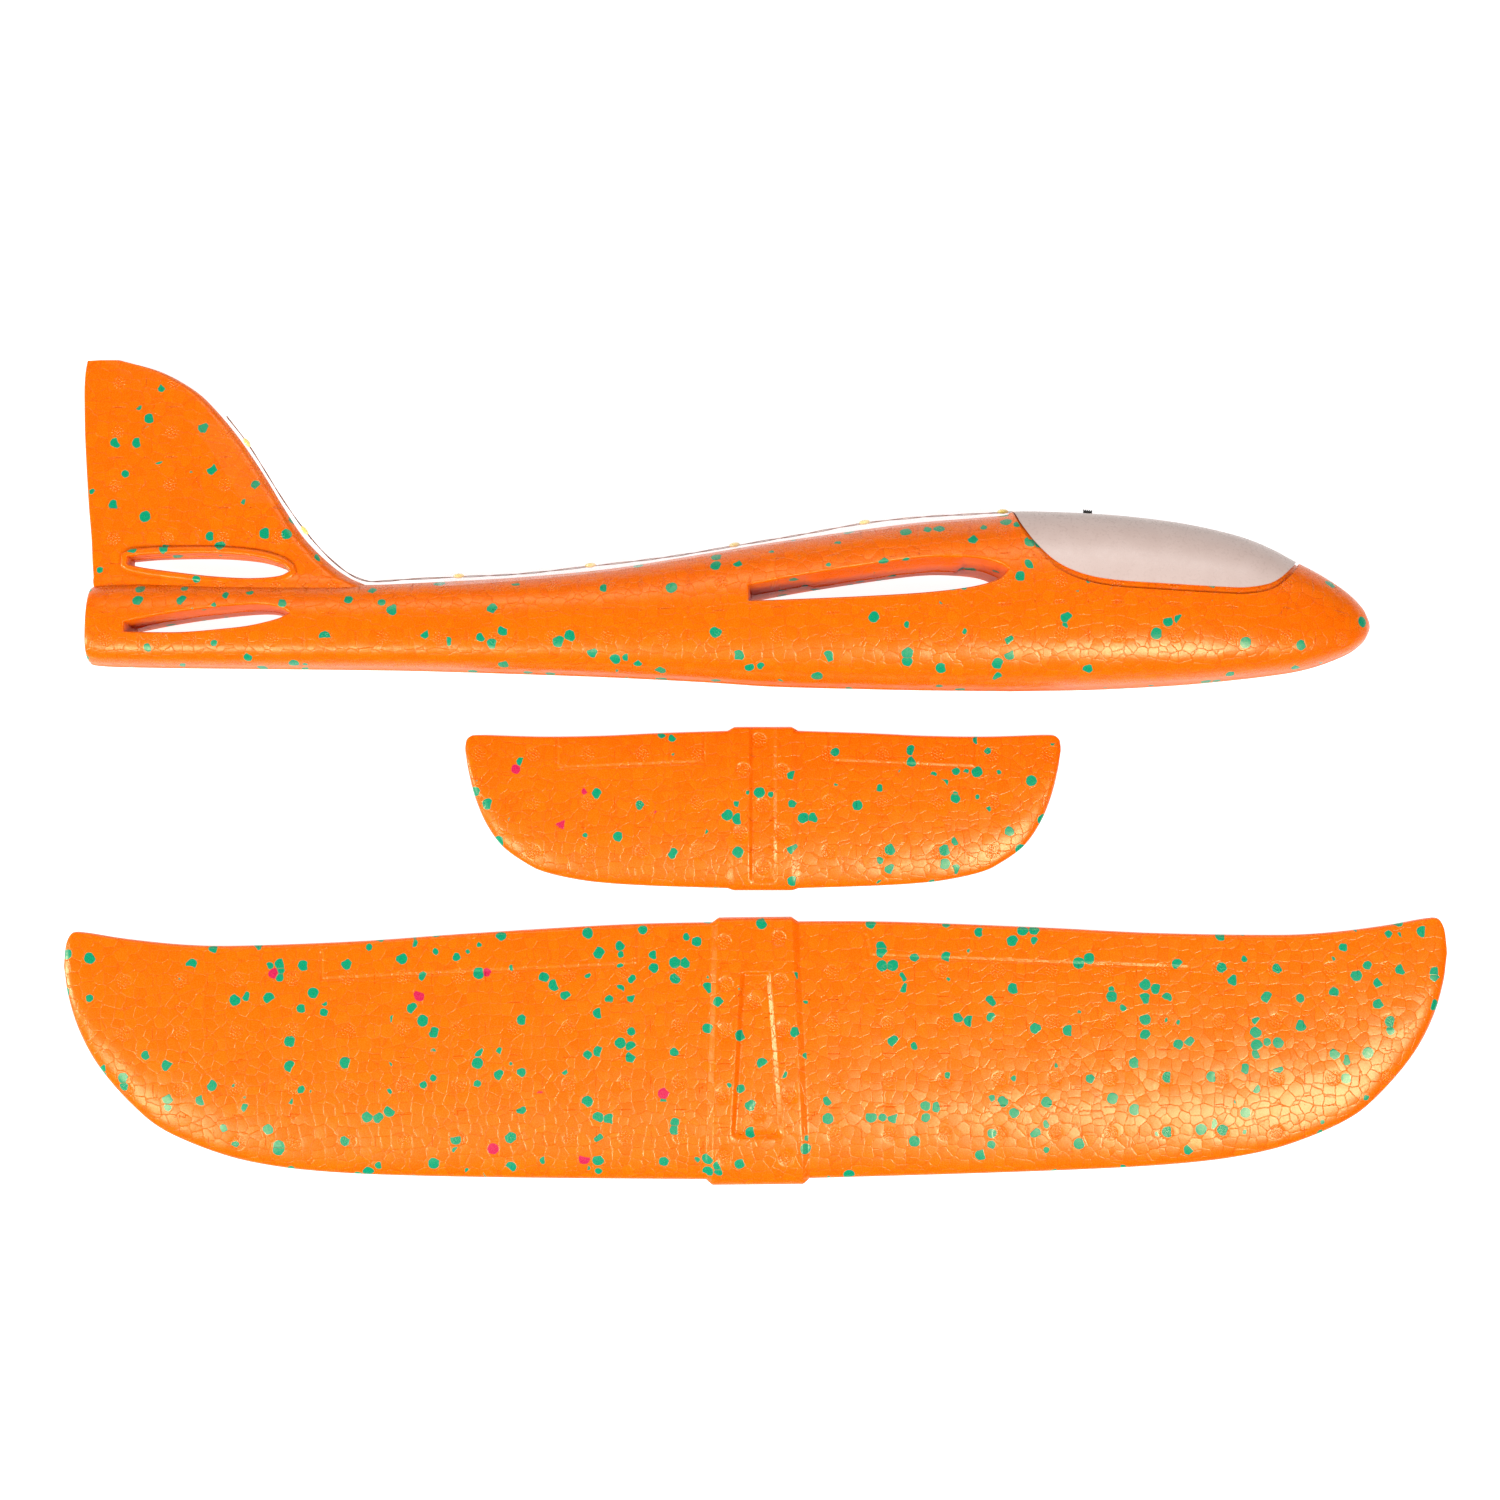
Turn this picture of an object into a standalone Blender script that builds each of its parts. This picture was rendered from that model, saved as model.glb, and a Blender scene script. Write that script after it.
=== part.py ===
"""Bead-foam hand glider laid out as a kit: fuselage with its light string, tailplane and wing.

The kit lies flat: +X towards the nose, +Y towards the fin tip, +Z up from the surface it lies on.
The fuselage has its own frame (x forward, y aircraft up, z sideways), rolled onto its left side.
All sizes below are in millimetres and are turned to metres where a mesh is made.
"""

import math

import bmesh
import bpy
import numpy as np
from mathutils import Vector

MM = 0.001
GAP = 0.3  # clearance between pieces that touch

# Fuselage frame: the body lies on its cabin side and on its fin tip.
BODY_X, BODY_Y, BODY_Z = -0.9, 49.5, 19.02
BODY_ROLL, BODY_TILT = -8.0, 0.73

# Body stations: x, spine height, belly height, half width.
BODY_STATIONS = [
    (-229.4, 11.5, -8.0, 6.8),
    (-228.9, 13.6, -10.2, 8.6),
    (-226.5, 15.4, -12.3, 10.0),
    (-205.0, 16.2, -13.0, 10.7),
    (-160.0, 15.7, -13.5, 11.1),
    (-134.0, 15.6, -13.8, 11.6),
    (-115.5, 16.3, -14.1, 12.1),
    (-82.0, 18.1, -15.1, 13.3),
    (-49.0, 21.2, -16.3, 14.7),
    (-16.0, 26.5, -18.0, 15.9),
    (6.5, 30.3, -19.5, 16.7),
    (39.0, 35.0, -20.4, 17.5),
    (58.0, 37.4, -20.8, 17.9),
    (85.5, 39.7, -21.1, 18.4),
    (92.0, 41.3, -21.1, 18.5),
    (115.0, 40.6, -20.7, 18.8),
    (133.0, 39.1, -19.9, 18.5),
    (150.5, 36.6, -18.8, 17.5),
    (167.0, 32.7, -17.2, 15.9),
    (178.0, 28.4, -15.9, 14.3),
    (187.5, 23.2, -14.4, 12.7),
    (196.0, 18.6, -12.0, 10.8),
    (204.6, 12.7, -8.4, 8.0),
    (209.6, 7.6, -4.6, 5.0),
    (211.7, 3.6, -1.4, 2.2),
    (212.3, 1.9, 0.3, 0.7),
]
WIDEST_AT = 0.46  # height of the widest line, as a share of the section
CROWN_POWER, BELLY_POWER = 2.2, 2.7

# Fin: height, trailing edge x, leading edge x, half thickness.
FIN_STATIONS = [
    (6.0, -226.0, -112.0, 7.0),
    (15.6, -228.4, -134.0, 5.6),
    (18.5, -228.6, -140.3, 4.9),
    (23.4, -229.2, -147.1, 4.4),
    (32.3, -230.0, -156.0, 3.9),
    (43.4, -231.4, -163.6, 3.5),
    (55.2, -232.6, -170.9, 3.2),
    (68.5, -233.8, -180.1, 2.9),
    (79.7, -234.5, -189.6, 2.6),
    (86.0, -234.8, -196.8, 2.4),
    (92.1, -234.7, -207.9, 2.1),
    (96.1, -234.2, -221.5, 1.7),
]

# Slots through the fuselage: upper and lower edges at the mouths, tail end first.
WING_SLOT = (
    [(-1.3, 12.7), (15.0, 15.8), (31.3, 18.5), (50.7, 21.3), (63.6, 22.4), (76.9, 21.7), (84.0, 19.6)],
    [(-1.3, 7.0), (15.0, 7.5), (37.7, 8.4), (57.0, 9.5), (70.3, 10.9), (79.0, 12.6), (84.6, 14.8)],
    (87.0, 17.6),
)
LOWER_SLOT = (
    [(-215.3, 1.0), (-203.0, 3.5), (-190.0, 5.5), (-177.0, 6.9), (-168.0, 7.2), (-162.0, 6.0)],
    [(-215.3, -2.3), (-205.0, -2.6), (-194.0, -2.5), (-181.0, -1.4), (-172.0, -0.3), (-163.0, 1.9)],
    (-158.6, 4.0),
)
UPPER_SLOT = (
    [(-216.2, 25.0), (-207.0, 25.8), (-195.0, 26.1), (-182.7, 25.9), (-171.0, 24.7), (-163.0, 22.3)],
    [(-216.2, 22.2), (-210.0, 20.9), (-200.0, 19.5), (-187.0, 18.0), (-173.8, 17.3), (-164.0, 18.0)],
    (-159.8, 19.8),
)
SLOT_DRAFT = 0.05  # each wall opens by this much for every millimetre out from the middle
SLOT_REACH = 26.0
RAMP_X = (18.5, 72.5)  # stretch of the wing slot's roof that ramps down to the middle
RAMP_DEPTH = 1.1
BOSS_HALF = 5.6  # half thickness of the fin root around the upper slot
BOSS_RIM = 2.6

# Canopy: lower edge of the shell, rear top to front tip.
CANOPY_EDGE = [
    (89.2, 44.0),
    (90.6, 38.5),
    (92.4, 33.8),
    (97.2, 26.3),
    (103.9, 19.8),
    (113.0, 15.6),
    (123.9, 13.6),
    (141.0, 12.5),
    (159.2, 11.7),
    (168.4, 11.8),
    (177.3, 14.0),
    (184.6, 20.0),
    (189.6, 26.5),
]
CANOPY_WALL = 0.7
SHOULDER_DROP = 2.4  # foam shoulder below the shell's edge
UPSTAND = 1.6  # foam upstand above the shell's edge, inside it

# Light box under the canopy's crown, in its own tilted frame with its origin at the lid's top.
BOX_X, BOX_Y, BOX_TILT = 133.0, 34.9, -6.5
BOX_LENGTH, BOX_HEIGHT, BOX_WIDTH, BOX_WALL = 41.0, 14.1, 14.4, 0.9
BOX_FOOT = 1.0  # foam tape pad under the box
CELL_RADIUS, CELL_LENGTH = 5.8, 5.1
CELL_AXIS = -7.05
SCREW_X = 17.2
KNOB_X = -17.5
KNOB_TRAVEL = 2.0

# Light string.
WIRE_RADIUS = 0.35
WIRE_ROUTE = [
    (111.6, 28.0),
    (106.0, 30.6),
    (99.8, 35.4),
    (95.4, 39.2),
    (91.2, 41.2),
    (86.6, 41.3),
    (77.0, 40.8),
    (58.0, 39.7),
    (38.3, 37.5),
    (17.0, 33.6),
    (-6.2, 29.6),
    (-30.0, 25.6),
    (-56.5, 22.4),
    (-80.0, 19.8),
    (-101.7, 18.7),
    (-119.0, 17.9),
    (-127.0, 17.3),
    (-133.6, 17.2),
    (-139.8, 19.6),
    (-146.3, 24.6),
    (-152.6, 31.1),
    (-158.6, 38.6),
    (-164.8, 47.5),
    (-170.8, 57.0),
    (-177.2, 66.8),
    (-184.6, 76.2),
]
LIGHT_X = [104.0, 86.6, 38.3, -6.2, -56.5, -101.7, -155.5, -176.6]
LIGHT_SIZE = (3.8, 1.7, 1.9)

# Wing and tailplane: planform of one half, root to tip, in the panel's own frame.
WING_PLACE, WING_TURN = (0.4, -97.8), 0.6
WING_TRAILING = [
    (0, 45.3), (45, 44.9), (100, 42.4), (139, 40.2), (178, 39.3), (198, 39.9), (217.5, 42.2), (232, 44.8),
]
WING_LEADING = [
    (0, -45.2), (65, -43.9), (115, -42.3), (147, -40.4), (169, -37.6), (187, -33.0), (206, -24.5),
    (217.5, -14.8), (228, -2.0), (234.6, 10.5), (238.3, 22.8), (239.5, 32.0),
]
WING_TIP = [(232, 44.8), (236.6, 45.0), (238.8, 41.5), (239.5, 36.0)]
WING_THICKNESS = [(0, 8.8), (120, 7.6), (200, 6.2), (240, 4.6)]
WING_RISE = 13.0  # how far the tips curve up
WING_FLOOR = 0.8  # underside of the panel above the block's underside
WING_EDGE = 2.4
WING_BLOCK = (13.9, 16.9, 46.9, -46.9, 10.4, 4.2)  # half width rear and front, y rear and front, height, edge
WELL_REAR, WELL_FRONT = (28.0, 5.3), (-29.5, 9.4)  # y and half width of the sunken keystone's ends
WELL_DEPTH, WELL_WALL = 1.1, 1.7

TAIL_PLACE = (2.7, -0.1)
TAIL_TRAILING = [(0, 15.2), (35, 14.1), (57, 13.1), (78, 12.8), (98, 13.4)]
TAIL_LEADING = [
    (0, -41.0), (38, -39.8), (56, -38.7), (67, -37.2), (77, -34.8), (83, -32.0), (91.5, -25.9),
    (97.3, -17.8), (101.2, -8.6), (103.6, 1.0), (104.6, 7.5),
]
TAIL_TIP = [(98, 13.4), (102.3, 13.2), (104.2, 11.6), (104.6, 9.5)]
TAIL_THICKNESS = [(0, 5.6), (60, 5.0), (105, 3.6)]
TAIL_EDGE = 2.2
TAIL_RISE = 1.6
TAIL_FLOOR = 0.5
TAIL_BLOCK = (11.2, 11.2, 16.2, -41.4, 6.5, 3.0)
CHANNEL_HALF, CHANNEL_DEPTH, CHANNEL_WALL = 4.95, 0.8, 1.3
CHANNEL_Y = (-38.0, 17.5)


# ---------------------------------------------------------------- curves


def through(points, per_span=6):
    """Points on a smooth Catmull-Rom curve that passes through the given ones."""
    p = [np.array(q, float) for q in points]
    p = [2 * p[0] - p[1]] + p + [2 * p[-1] - p[-2]]
    made = []
    for i in range(1, len(p) - 2):
        for k in range(per_span):
            t = k / per_span
            made.append(
                0.5 * (
                    2 * p[i]
                    + (p[i + 1] - p[i - 1]) * t
                    + (2 * p[i - 1] - 5 * p[i] + 4 * p[i + 1] - p[i + 2]) * t * t
                    + (3 * p[i] - p[i - 1] - 3 * p[i + 1] + p[i + 2]) * t ** 3
                )
            )
    made.append(p[-2])
    return np.array(made)


def even(points, count):
    """The polyline resampled to points an equal distance apart."""
    steps = np.linalg.norm(np.diff(points, axis=0), axis=1)
    run = np.concatenate([[0], np.cumsum(steps)])
    at = np.linspace(0, run[-1], count)
    return np.array([[np.interp(s, run, points[:, k]) for k in range(points.shape[1])] for s in at])


def table(rows, per_span=12):
    """A function that reads a smooth curve through rows of (place, value) at any place."""
    curve = through(rows, per_span)
    return lambda place: float(np.interp(place, curve[:, 0], curve[:, 1]))


# ---------------------------------------------------------------- meshes


def material(name, colour, roughness=0.5, metallic=0.0, alpha=1.0):
    made = bpy.data.materials.new(name)
    made.use_nodes = True
    shader = made.node_tree.nodes["Principled BSDF"]
    shader.inputs["Base Color"].default_value = (*colour, 1)
    shader.inputs["Roughness"].default_value = roughness
    shader.inputs["Metallic"].default_value = metallic
    shader.inputs["Alpha"].default_value = alpha
    made.diffuse_color = (*colour, alpha)
    return made


def place(name, mesh, parent=None, look=None, at=(0, 0, 0), smooth=None):
    obj = bpy.data.objects.new(name, mesh)
    bpy.context.scene.collection.objects.link(obj)
    obj.parent = parent
    obj.location = Vector(at) * MM
    if look:
        mesh.materials.clear()
        mesh.materials.append(look)
    if smooth is not None:
        mesh.shade_smooth()
        mesh.set_sharp_from_angle(angle=math.radians(smooth))
    return obj


def mesh_of(name, points, faces):
    """A closed mesh with its faces turned outwards, from points in millimetres."""
    mesh = bpy.data.meshes.new(name)
    mesh.from_pydata([tuple(float(c) * MM for c in p) for p in points], [], faces)
    bm = bmesh.new()
    bm.from_mesh(mesh)
    bmesh.ops.recalc_face_normals(bm, faces=bm.faces)
    bm.to_mesh(mesh)
    bm.free()
    return mesh


def loft(name, rings):
    """A closed skin over rings of equal length, with a flat cap at each end."""
    n = len(rings[0])
    points = [p for ring in rings for p in ring]
    faces = [
        (r * n + k, r * n + (k + 1) % n, (r + 1) * n + (k + 1) % n, (r + 1) * n + k)
        for r in range(len(rings) - 1)
        for k in range(n)
    ]
    last = (len(rings) - 1) * n
    faces += [tuple(range(n)), tuple(last + k for k in range(n))]
    return mesh_of(name, points, faces)


def prism(name, outline, low, high):
    """An outline in x and y, extruded from z = low to z = high."""
    return loft(name, [[(x, y, z) for x, y in outline] for z in (low, high)])


def block(name, low, high):
    """A rectangular block between two corners."""
    outline = [(low[0], low[1]), (high[0], low[1]), (high[0], high[1]), (low[0], high[1])]
    return prism(name, outline, low[2], high[2])


def rod(name, radius, low, high, axis, centre=(0, 0), sides=20):
    """A round rod along the x or y axis, from low to high."""
    rings = []
    for end in (low, high):
        ring = []
        for k in range(sides):
            a = 2 * math.pi * k / sides
            u, v = centre[0] + radius * math.cos(a), centre[1] + radius * math.sin(a)
            ring.append((end, u, v) if axis == "x" else (u, end, v))
        rings.append(ring)
    return loft(name, rings)


def helper(name, mesh, parent=None, at=(0, 0, 0)):
    obj = place(name, mesh, parent, at=at)
    obj.hide_render = True
    obj.display_type = "WIRE"
    return obj


def combine(target, other, operation):
    boolean = target.modifiers.new(f"{operation.lower()} {other.name}", "BOOLEAN")
    boolean.operation = operation
    boolean.object = other
    boolean.solver = "EXACT"


def round_edges(target, width, segments=2, angle=40):
    bevel = target.modifiers.new("edges", "BEVEL")
    bevel.width = width * MM
    bevel.segments = segments
    bevel.limit_method = "ANGLE"
    bevel.angle_limit = math.radians(angle)


def frame_at(name, at, turn=(0, 0, 0), parent=None):
    empty = bpy.data.objects.new(name, None)
    bpy.context.scene.collection.objects.link(empty)
    empty.parent = parent
    empty.location = Vector(at) * MM
    empty.rotation_euler = [math.radians(a) for a in turn]
    return empty


# ---------------------------------------------------------------- fuselage shape

BODY = through(BODY_STATIONS, 2)


def body_section(x):
    """Spine height, belly height and half width at x."""
    return [float(np.interp(x, BODY[:, 0], BODY[:, k])) for k in (1, 2, 3)]


def body_ring(row, inset=0.0, sides=24):
    """One closed section of the body, a rounder crown over a flatter belly."""
    x, top, bottom, half = row
    middle = bottom + WIDEST_AT * (top - bottom)
    up, down, half = (max(size - inset, 0.05) for size in (top - middle, middle - bottom, half))
    ring = []
    for k in range(sides):
        a = 2 * math.pi * k / sides
        c, s = math.cos(a), math.sin(a)
        power = 2 / (CROWN_POWER if s > 0 else BELLY_POWER)
        rise = up if s > 0 else down
        height = middle + math.copysign(rise * abs(s) ** power, s)
        ring.append((x, height, math.copysign(half * abs(c) ** power, c)))
    return ring


def crown_height(x, z, lift=0.0):
    """Height of the body's upper surface at x and z, plus lift."""
    top, bottom, half = body_section(x)
    middle = bottom + WIDEST_AT * (top - bottom)
    share = min(abs(z) / half, 0.999)
    return middle + (top - middle) * (1 - share ** CROWN_POWER) ** (1 / CROWN_POWER) + lift


def body_mesh(name, inset=0.0, first=-1000.0):
    """The body's skin, drawn in by inset, from x = first to the nose."""
    rows = [row for row in BODY if row[0] > first and (inset == 0 or row[3] > inset + 1)]
    return loft(name, [body_ring(row, inset) for row in rows])


def fin_mesh():
    """The fin: thin sections with a rounded leading edge and a blunt trailing edge."""
    rings = []
    for height, rear, front, half in through(FIN_STATIONS, 2):
        nose = min(2.6 * half, 0.35 * (front - rear))
        edge = 0.62 * half
        side = [(rear, edge * 0.55), (rear + 0.7, edge), (rear + 0.45 * (front - rear), half)]
        side += [
            (front - nose + nose * math.sin(a), half * math.cos(a))
            for a in np.radians([0, 35, 62, 82])
        ]
        ring = [(x, height, z) for x, z in side] + [(front, height, 0)]
        ring += [(x, height, -z) for x, z in reversed(side)]
        rings.append(ring)
    return loft("fin", rings)


def slot_outline(slot, grow):
    """The slot's closed outline, moved outwards by grow, blunt end first."""
    upper, lower, nose = slot
    rim = list(through(upper + [nose], 2)) + list(through(lower + [nose], 2))[-2::-1]
    rim = np.array(rim)
    ahead, behind = np.roll(rim, -1, axis=0), np.roll(rim, 1, axis=0)
    along = ahead - behind
    out = np.stack([-along[:, 1], along[:, 0]], axis=1)
    out /= np.linalg.norm(out, axis=1)[:, None]
    return rim + out * grow


def slot_cutter(name, slot, mouth, ramp=False):
    """A cutter right through the body, narrowest in the middle, as two-sided moulds leave it."""
    rings = []
    for z in (-SLOT_REACH, -mouth * 0.45, 0.0, mouth * 0.45, SLOT_REACH):
        ring = slot_outline(slot, SLOT_DRAFT * (abs(z) - mouth))
        if ramp and abs(z) < mouth:
            upper = np.arange(len(ring)) < 2 * len(slot[0])
            inside = (ring[:, 0] > RAMP_X[0]) & (ring[:, 0] < RAMP_X[1]) & upper
            ring[inside, 1] -= RAMP_DEPTH
        rings.append([(x, y, z) for x, y in ring])
    return helper(name, loft(name, rings), BODY_FRAME)


def fin_boss():
    """The raised lip around the upper slot, where the fin's root is thicker."""
    outline = slot_outline(UPPER_SLOT, BOSS_RIM)
    inner = slot_outline(UPPER_SLOT, BOSS_RIM * 0.35)
    shoulder = BOSS_HALF - 1.1
    levels = ((-BOSS_HALF, inner), (-shoulder, outline), (shoulder, outline), (BOSS_HALF, inner))
    rings = [[(x, y, z) for x, y in rim] for z, rim in levels]
    return helper("fin_boss", loft("fin_boss", rings), BODY_FRAME)


def above_edge(offset, top=60.0):
    """Outline of everything above the canopy's lower edge, lowered or raised by offset."""
    edge = [tuple(p) for p in through(CANOPY_EDGE, 2)]
    moved = [(x, y + offset) for x, y in edge]
    return [(moved[0][0], top)] + moved + [(moved[-1][0] + 2.0, top)]


def make_fuselage(look):
    """The foam body with its fin, three slots and the seat for the canopy."""
    fuselage = place("fuselage", body_mesh("fuselage"), BODY_FRAME, look)
    combine(fuselage, helper("fin", fin_mesh(), BODY_FRAME), "UNION")
    combine(fuselage, fin_boss(), "UNION")

    plug = helper("plug", body_mesh("plug", CANOPY_WALL + GAP + 0.1, 80.0), BODY_FRAME)
    floor = helper("plug_top", prism("plug_top", above_edge(UPSTAND), -30, 30), BODY_FRAME)
    combine(plug, floor, "DIFFERENCE")
    half = BOX_LENGTH / 2 + 1.5
    foot = -BOX_HEIGHT - BOX_FOOT - GAP
    shelf = block("shelf", (-half, foot - 22, -9.5), (half, foot, 9.5))
    combine(plug, helper("shelf", shelf, LIGHT_FRAME), "UNION")
    cockpit = helper("cockpit", prism("cockpit", above_edge(-SHOULDER_DROP), -30, 30), BODY_FRAME)
    combine(cockpit, plug, "DIFFERENCE")
    combine(fuselage, cockpit, "DIFFERENCE")

    pocket = rod("weight_pocket", 5.3, 162.0, 186.3, "x", (1.0, 0))
    combine(fuselage, helper("weight_pocket", pocket, BODY_FRAME), "DIFFERENCE")
    mouth = block("weight_mouth", (158.0, -4.3, -5.3), (172.0, 20.0, 5.3))
    combine(fuselage, helper("weight_mouth", mouth, BODY_FRAME), "DIFFERENCE")

    combine(fuselage, slot_cutter("wing_slot", WING_SLOT, 17.3, ramp=True), "DIFFERENCE")
    combine(fuselage, slot_cutter("lower_slot", LOWER_SLOT, 10.8), "DIFFERENCE")
    combine(fuselage, slot_cutter("upper_slot", UPPER_SLOT, BOSS_HALF), "DIFFERENCE")
    return fuselage


def make_canopy(look):
    """A thin formed shell that stands on the foam shoulder, with cut-outs for switch, screw and wire."""
    canopy = place("canopy", body_mesh("canopy", 0.0, 80.0), BODY_FRAME, look)
    over = helper("canopy_region", prism("canopy_region", above_edge(0.0), -30, 30), BODY_FRAME)
    combine(canopy, over, "INTERSECT")
    inside = helper("canopy_inside", body_mesh("canopy_inside", CANOPY_WALL, 75.0), BODY_FRAME)
    combine(canopy, inside, "DIFFERENCE")
    slot = block("switch_cutout", (KNOB_X - 1.9, 1.0, -1.4), (KNOB_X + 1.9 + KNOB_TRAVEL, 12.0, 1.4))
    combine(canopy, helper("switch_cutout", slot, LIGHT_FRAME), "DIFFERENCE")
    access = rod("screw_cutout", 1.7, 1.0, 12.0, "y", (SCREW_X, 0), 16)
    combine(canopy, helper("screw_cutout", access, LIGHT_FRAME), "DIFFERENCE")
    notch = block("wire_notch", (86.0, 38.5, -1.3), (96.0, 46.0, 1.3))
    combine(canopy, helper("wire_notch", notch, BODY_FRAME), "DIFFERENCE")
    return canopy


# ---------------------------------------------------------------- light box


def make_box(look):
    """The open-topped tray of the light box, with the boss that its lid screws to."""
    half, side = BOX_LENGTH / 2, BOX_WIDTH / 2
    rim = -BOX_WALL - GAP
    outside = block("battery_box", (-half, -BOX_HEIGHT, -side), (half, rim, side))
    tray = place("battery_box", outside, LIGHT_FRAME, look)
    round_edges(tray, 0.8)
    hollow = block(
        "box_hollow",
        (-half + BOX_WALL, -BOX_HEIGHT + BOX_WALL, -side + BOX_WALL),
        (half - BOX_WALL, 5.0, side - BOX_WALL),
    )
    combine(tray, helper("box_hollow", hollow, LIGHT_FRAME), "DIFFERENCE")
    boss = rod("screw_boss", 2.4, -BOX_HEIGHT + 0.2, rim - GAP, "y", (SCREW_X, 0))
    combine(tray, helper("screw_boss", boss, LIGHT_FRAME), "UNION")
    bore = rod("screw_bore", 1.2, -9.0, 5.0, "y", (SCREW_X, 0))
    combine(tray, helper("screw_bore", bore, LIGHT_FRAME), "DIFFERENCE")
    exit_hole = rod("wire_exit", 0.9, -half - 3, -half + 3, "x", (-9.0, 0), 12)
    combine(tray, helper("wire_exit", exit_hole, LIGHT_FRAME), "DIFFERENCE")
    return tray


def make_lid(look):
    half, side = BOX_LENGTH / 2, BOX_WIDTH / 2
    plate = block("battery_lid", (-half, -BOX_WALL, -side), (half, 0.0, side))
    lid = place("battery_lid", plate, LIGHT_FRAME, look)
    window = block("lid_window", (KNOB_X - 1.1, -3.0, -1.1), (KNOB_X + 1.1 + KNOB_TRAVEL, 3.0, 1.1))
    combine(lid, helper("lid_window", window, LIGHT_FRAME), "DIFFERENCE")
    hole = rod("lid_hole", 1.2, -3.0, 3.0, "y", (SCREW_X, 0))
    combine(lid, helper("lid_hole", hole, LIGHT_FRAME), "DIFFERENCE")
    return lid


def make_screw(look):
    """A small pan-head screw with a cross recess."""
    profile = [(0.9, -7.6), (0.9, GAP), (1.6, GAP), (1.6, 0.9), (1.2, 1.3)]
    rings = []
    for radius, height in profile:
        turn = [2 * math.pi * k / 20 for k in range(20)]
        rings.append([(SCREW_X + radius * math.cos(a), height, radius * math.sin(a)) for a in turn])
    screw = place("lid_screw", loft("lid_screw", rings), LIGHT_FRAME, look)
    for name, reach in (("recess_a", (0.8, 0.18)), ("recess_b", (0.18, 0.8))):
        arm = block(name, (SCREW_X - reach[0], 0.9, -reach[1]), (SCREW_X + reach[0], 2.0, reach[1]))
        combine(screw, helper(name, arm, LIGHT_FRAME), "DIFFERENCE")
    return screw


def make_cells(steel):
    """Three button cells end to end, each a can with its smaller raised cap."""
    for k in range(3):
        start = -7.4 + k * (CELL_LENGTH + GAP)
        shape = [(5.3, 0), (CELL_RADIUS, 0.4), (CELL_RADIUS, 4.3), (5.0, 4.6), (5.0, CELL_LENGTH)]
        rings = []
        for radius, along in shape:
            turn = [2 * math.pi * i / 28 for i in range(28)]
            rings.append(
                [(start + along, CELL_AXIS + radius * math.cos(a), radius * math.sin(a)) for a in turn]
            )
        place(f"button_cell_{k + 1}", loft("button_cell", rings), LIGHT_FRAME, steel, smooth=40)


def make_contacts(brass):
    """The flat contact behind the cells, the spring in front of them and the plate that holds it."""
    plate = block("contact_rear", (-8.2, CELL_AXIS - 4.2, -4.0), (-7.8, CELL_AXIS + 4.2, 4.0))
    place("contact_rear", plate, LIGHT_FRAME, brass)
    plate = block("contact_front", (12.9, CELL_AXIS - 4.2, -4.0), (13.3, CELL_AXIS + 4.2, 4.0))
    place("contact_front", plate, LIGHT_FRAME, brass)
    curve = bpy.data.curves.new("contact_spring", "CURVE")
    curve.dimensions = "3D"
    curve.bevel_depth = 0.25 * MM
    curve.bevel_resolution = 0
    curve.use_fill_caps = True
    turns, per_turn, start, end = 3, 12, 9.4, 12.3
    spline = curve.splines.new("POLY")
    spline.points.add(turns * per_turn)
    for k, point in enumerate(spline.points):
        share = k / (turns * per_turn)
        radius = 1.6 + 1.6 * share
        a = 2 * math.pi * turns * share
        at = Vector((start + share * (end - start), CELL_AXIS + radius * math.cos(a), radius * math.sin(a)))
        point.co = (*(at * MM), 1)
    place("contact_spring", curve, LIGHT_FRAME, brass)


def make_switch(board_look, steel, black):
    board = block("circuit_board", (-19.2, -6.6, -6.0), (-10.6, -5.8, 6.0))
    place("circuit_board", board, LIGHT_FRAME, board_look)
    case = block("switch_body", (-19.2, -5.5, -2.2), (-12.6, -1.6, 2.2))
    can = place("switch_body", case, LIGHT_FRAME, steel)
    way = block("switch_way", (KNOB_X - 1.2, -4.4, -1.1), (KNOB_X + 1.2 + KNOB_TRAVEL, 0.0, 1.1))
    combine(can, helper("switch_way", way, LIGHT_FRAME), "DIFFERENCE")
    stem = [(-0.8, 2.4), (-0.8, -4.0), (0.8, -4.0), (0.8, 2.4)]
    outline = stem + [(1.5, 2.4), (1.5, 5.3), (-1.5, 5.3), (-1.5, 2.4)]
    frame = frame_at("switch_frame", (KNOB_X, 0, 0), parent=LIGHT_FRAME)
    knob = place("switch_knob", prism("switch_knob", outline, -0.75, 0.75), frame, black)
    round_edges(knob, 0.12, 1)


def make_box_pad(look):
    half = BOX_LENGTH / 2 - 2
    low = -BOX_HEIGHT - BOX_FOOT
    pad = block("box_pad", (-half, low, -6.0), (half, -BOX_HEIGHT - GAP, 6.0))
    place("box_pad", pad, LIGHT_FRAME, look)


def make_weight(look):
    """The steel slug in the nose that brings the balance point back under the wing."""
    slug = place("nose_weight", rod("nose_weight", 5.0, 165.0, 185.9, "x", (1.0, 0), 24), BODY_FRAME, look)
    round_edges(slug, 0.6)


# ---------------------------------------------------------------- light string

WIRE = even(through(WIRE_ROUTE, 8), 70)


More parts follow.
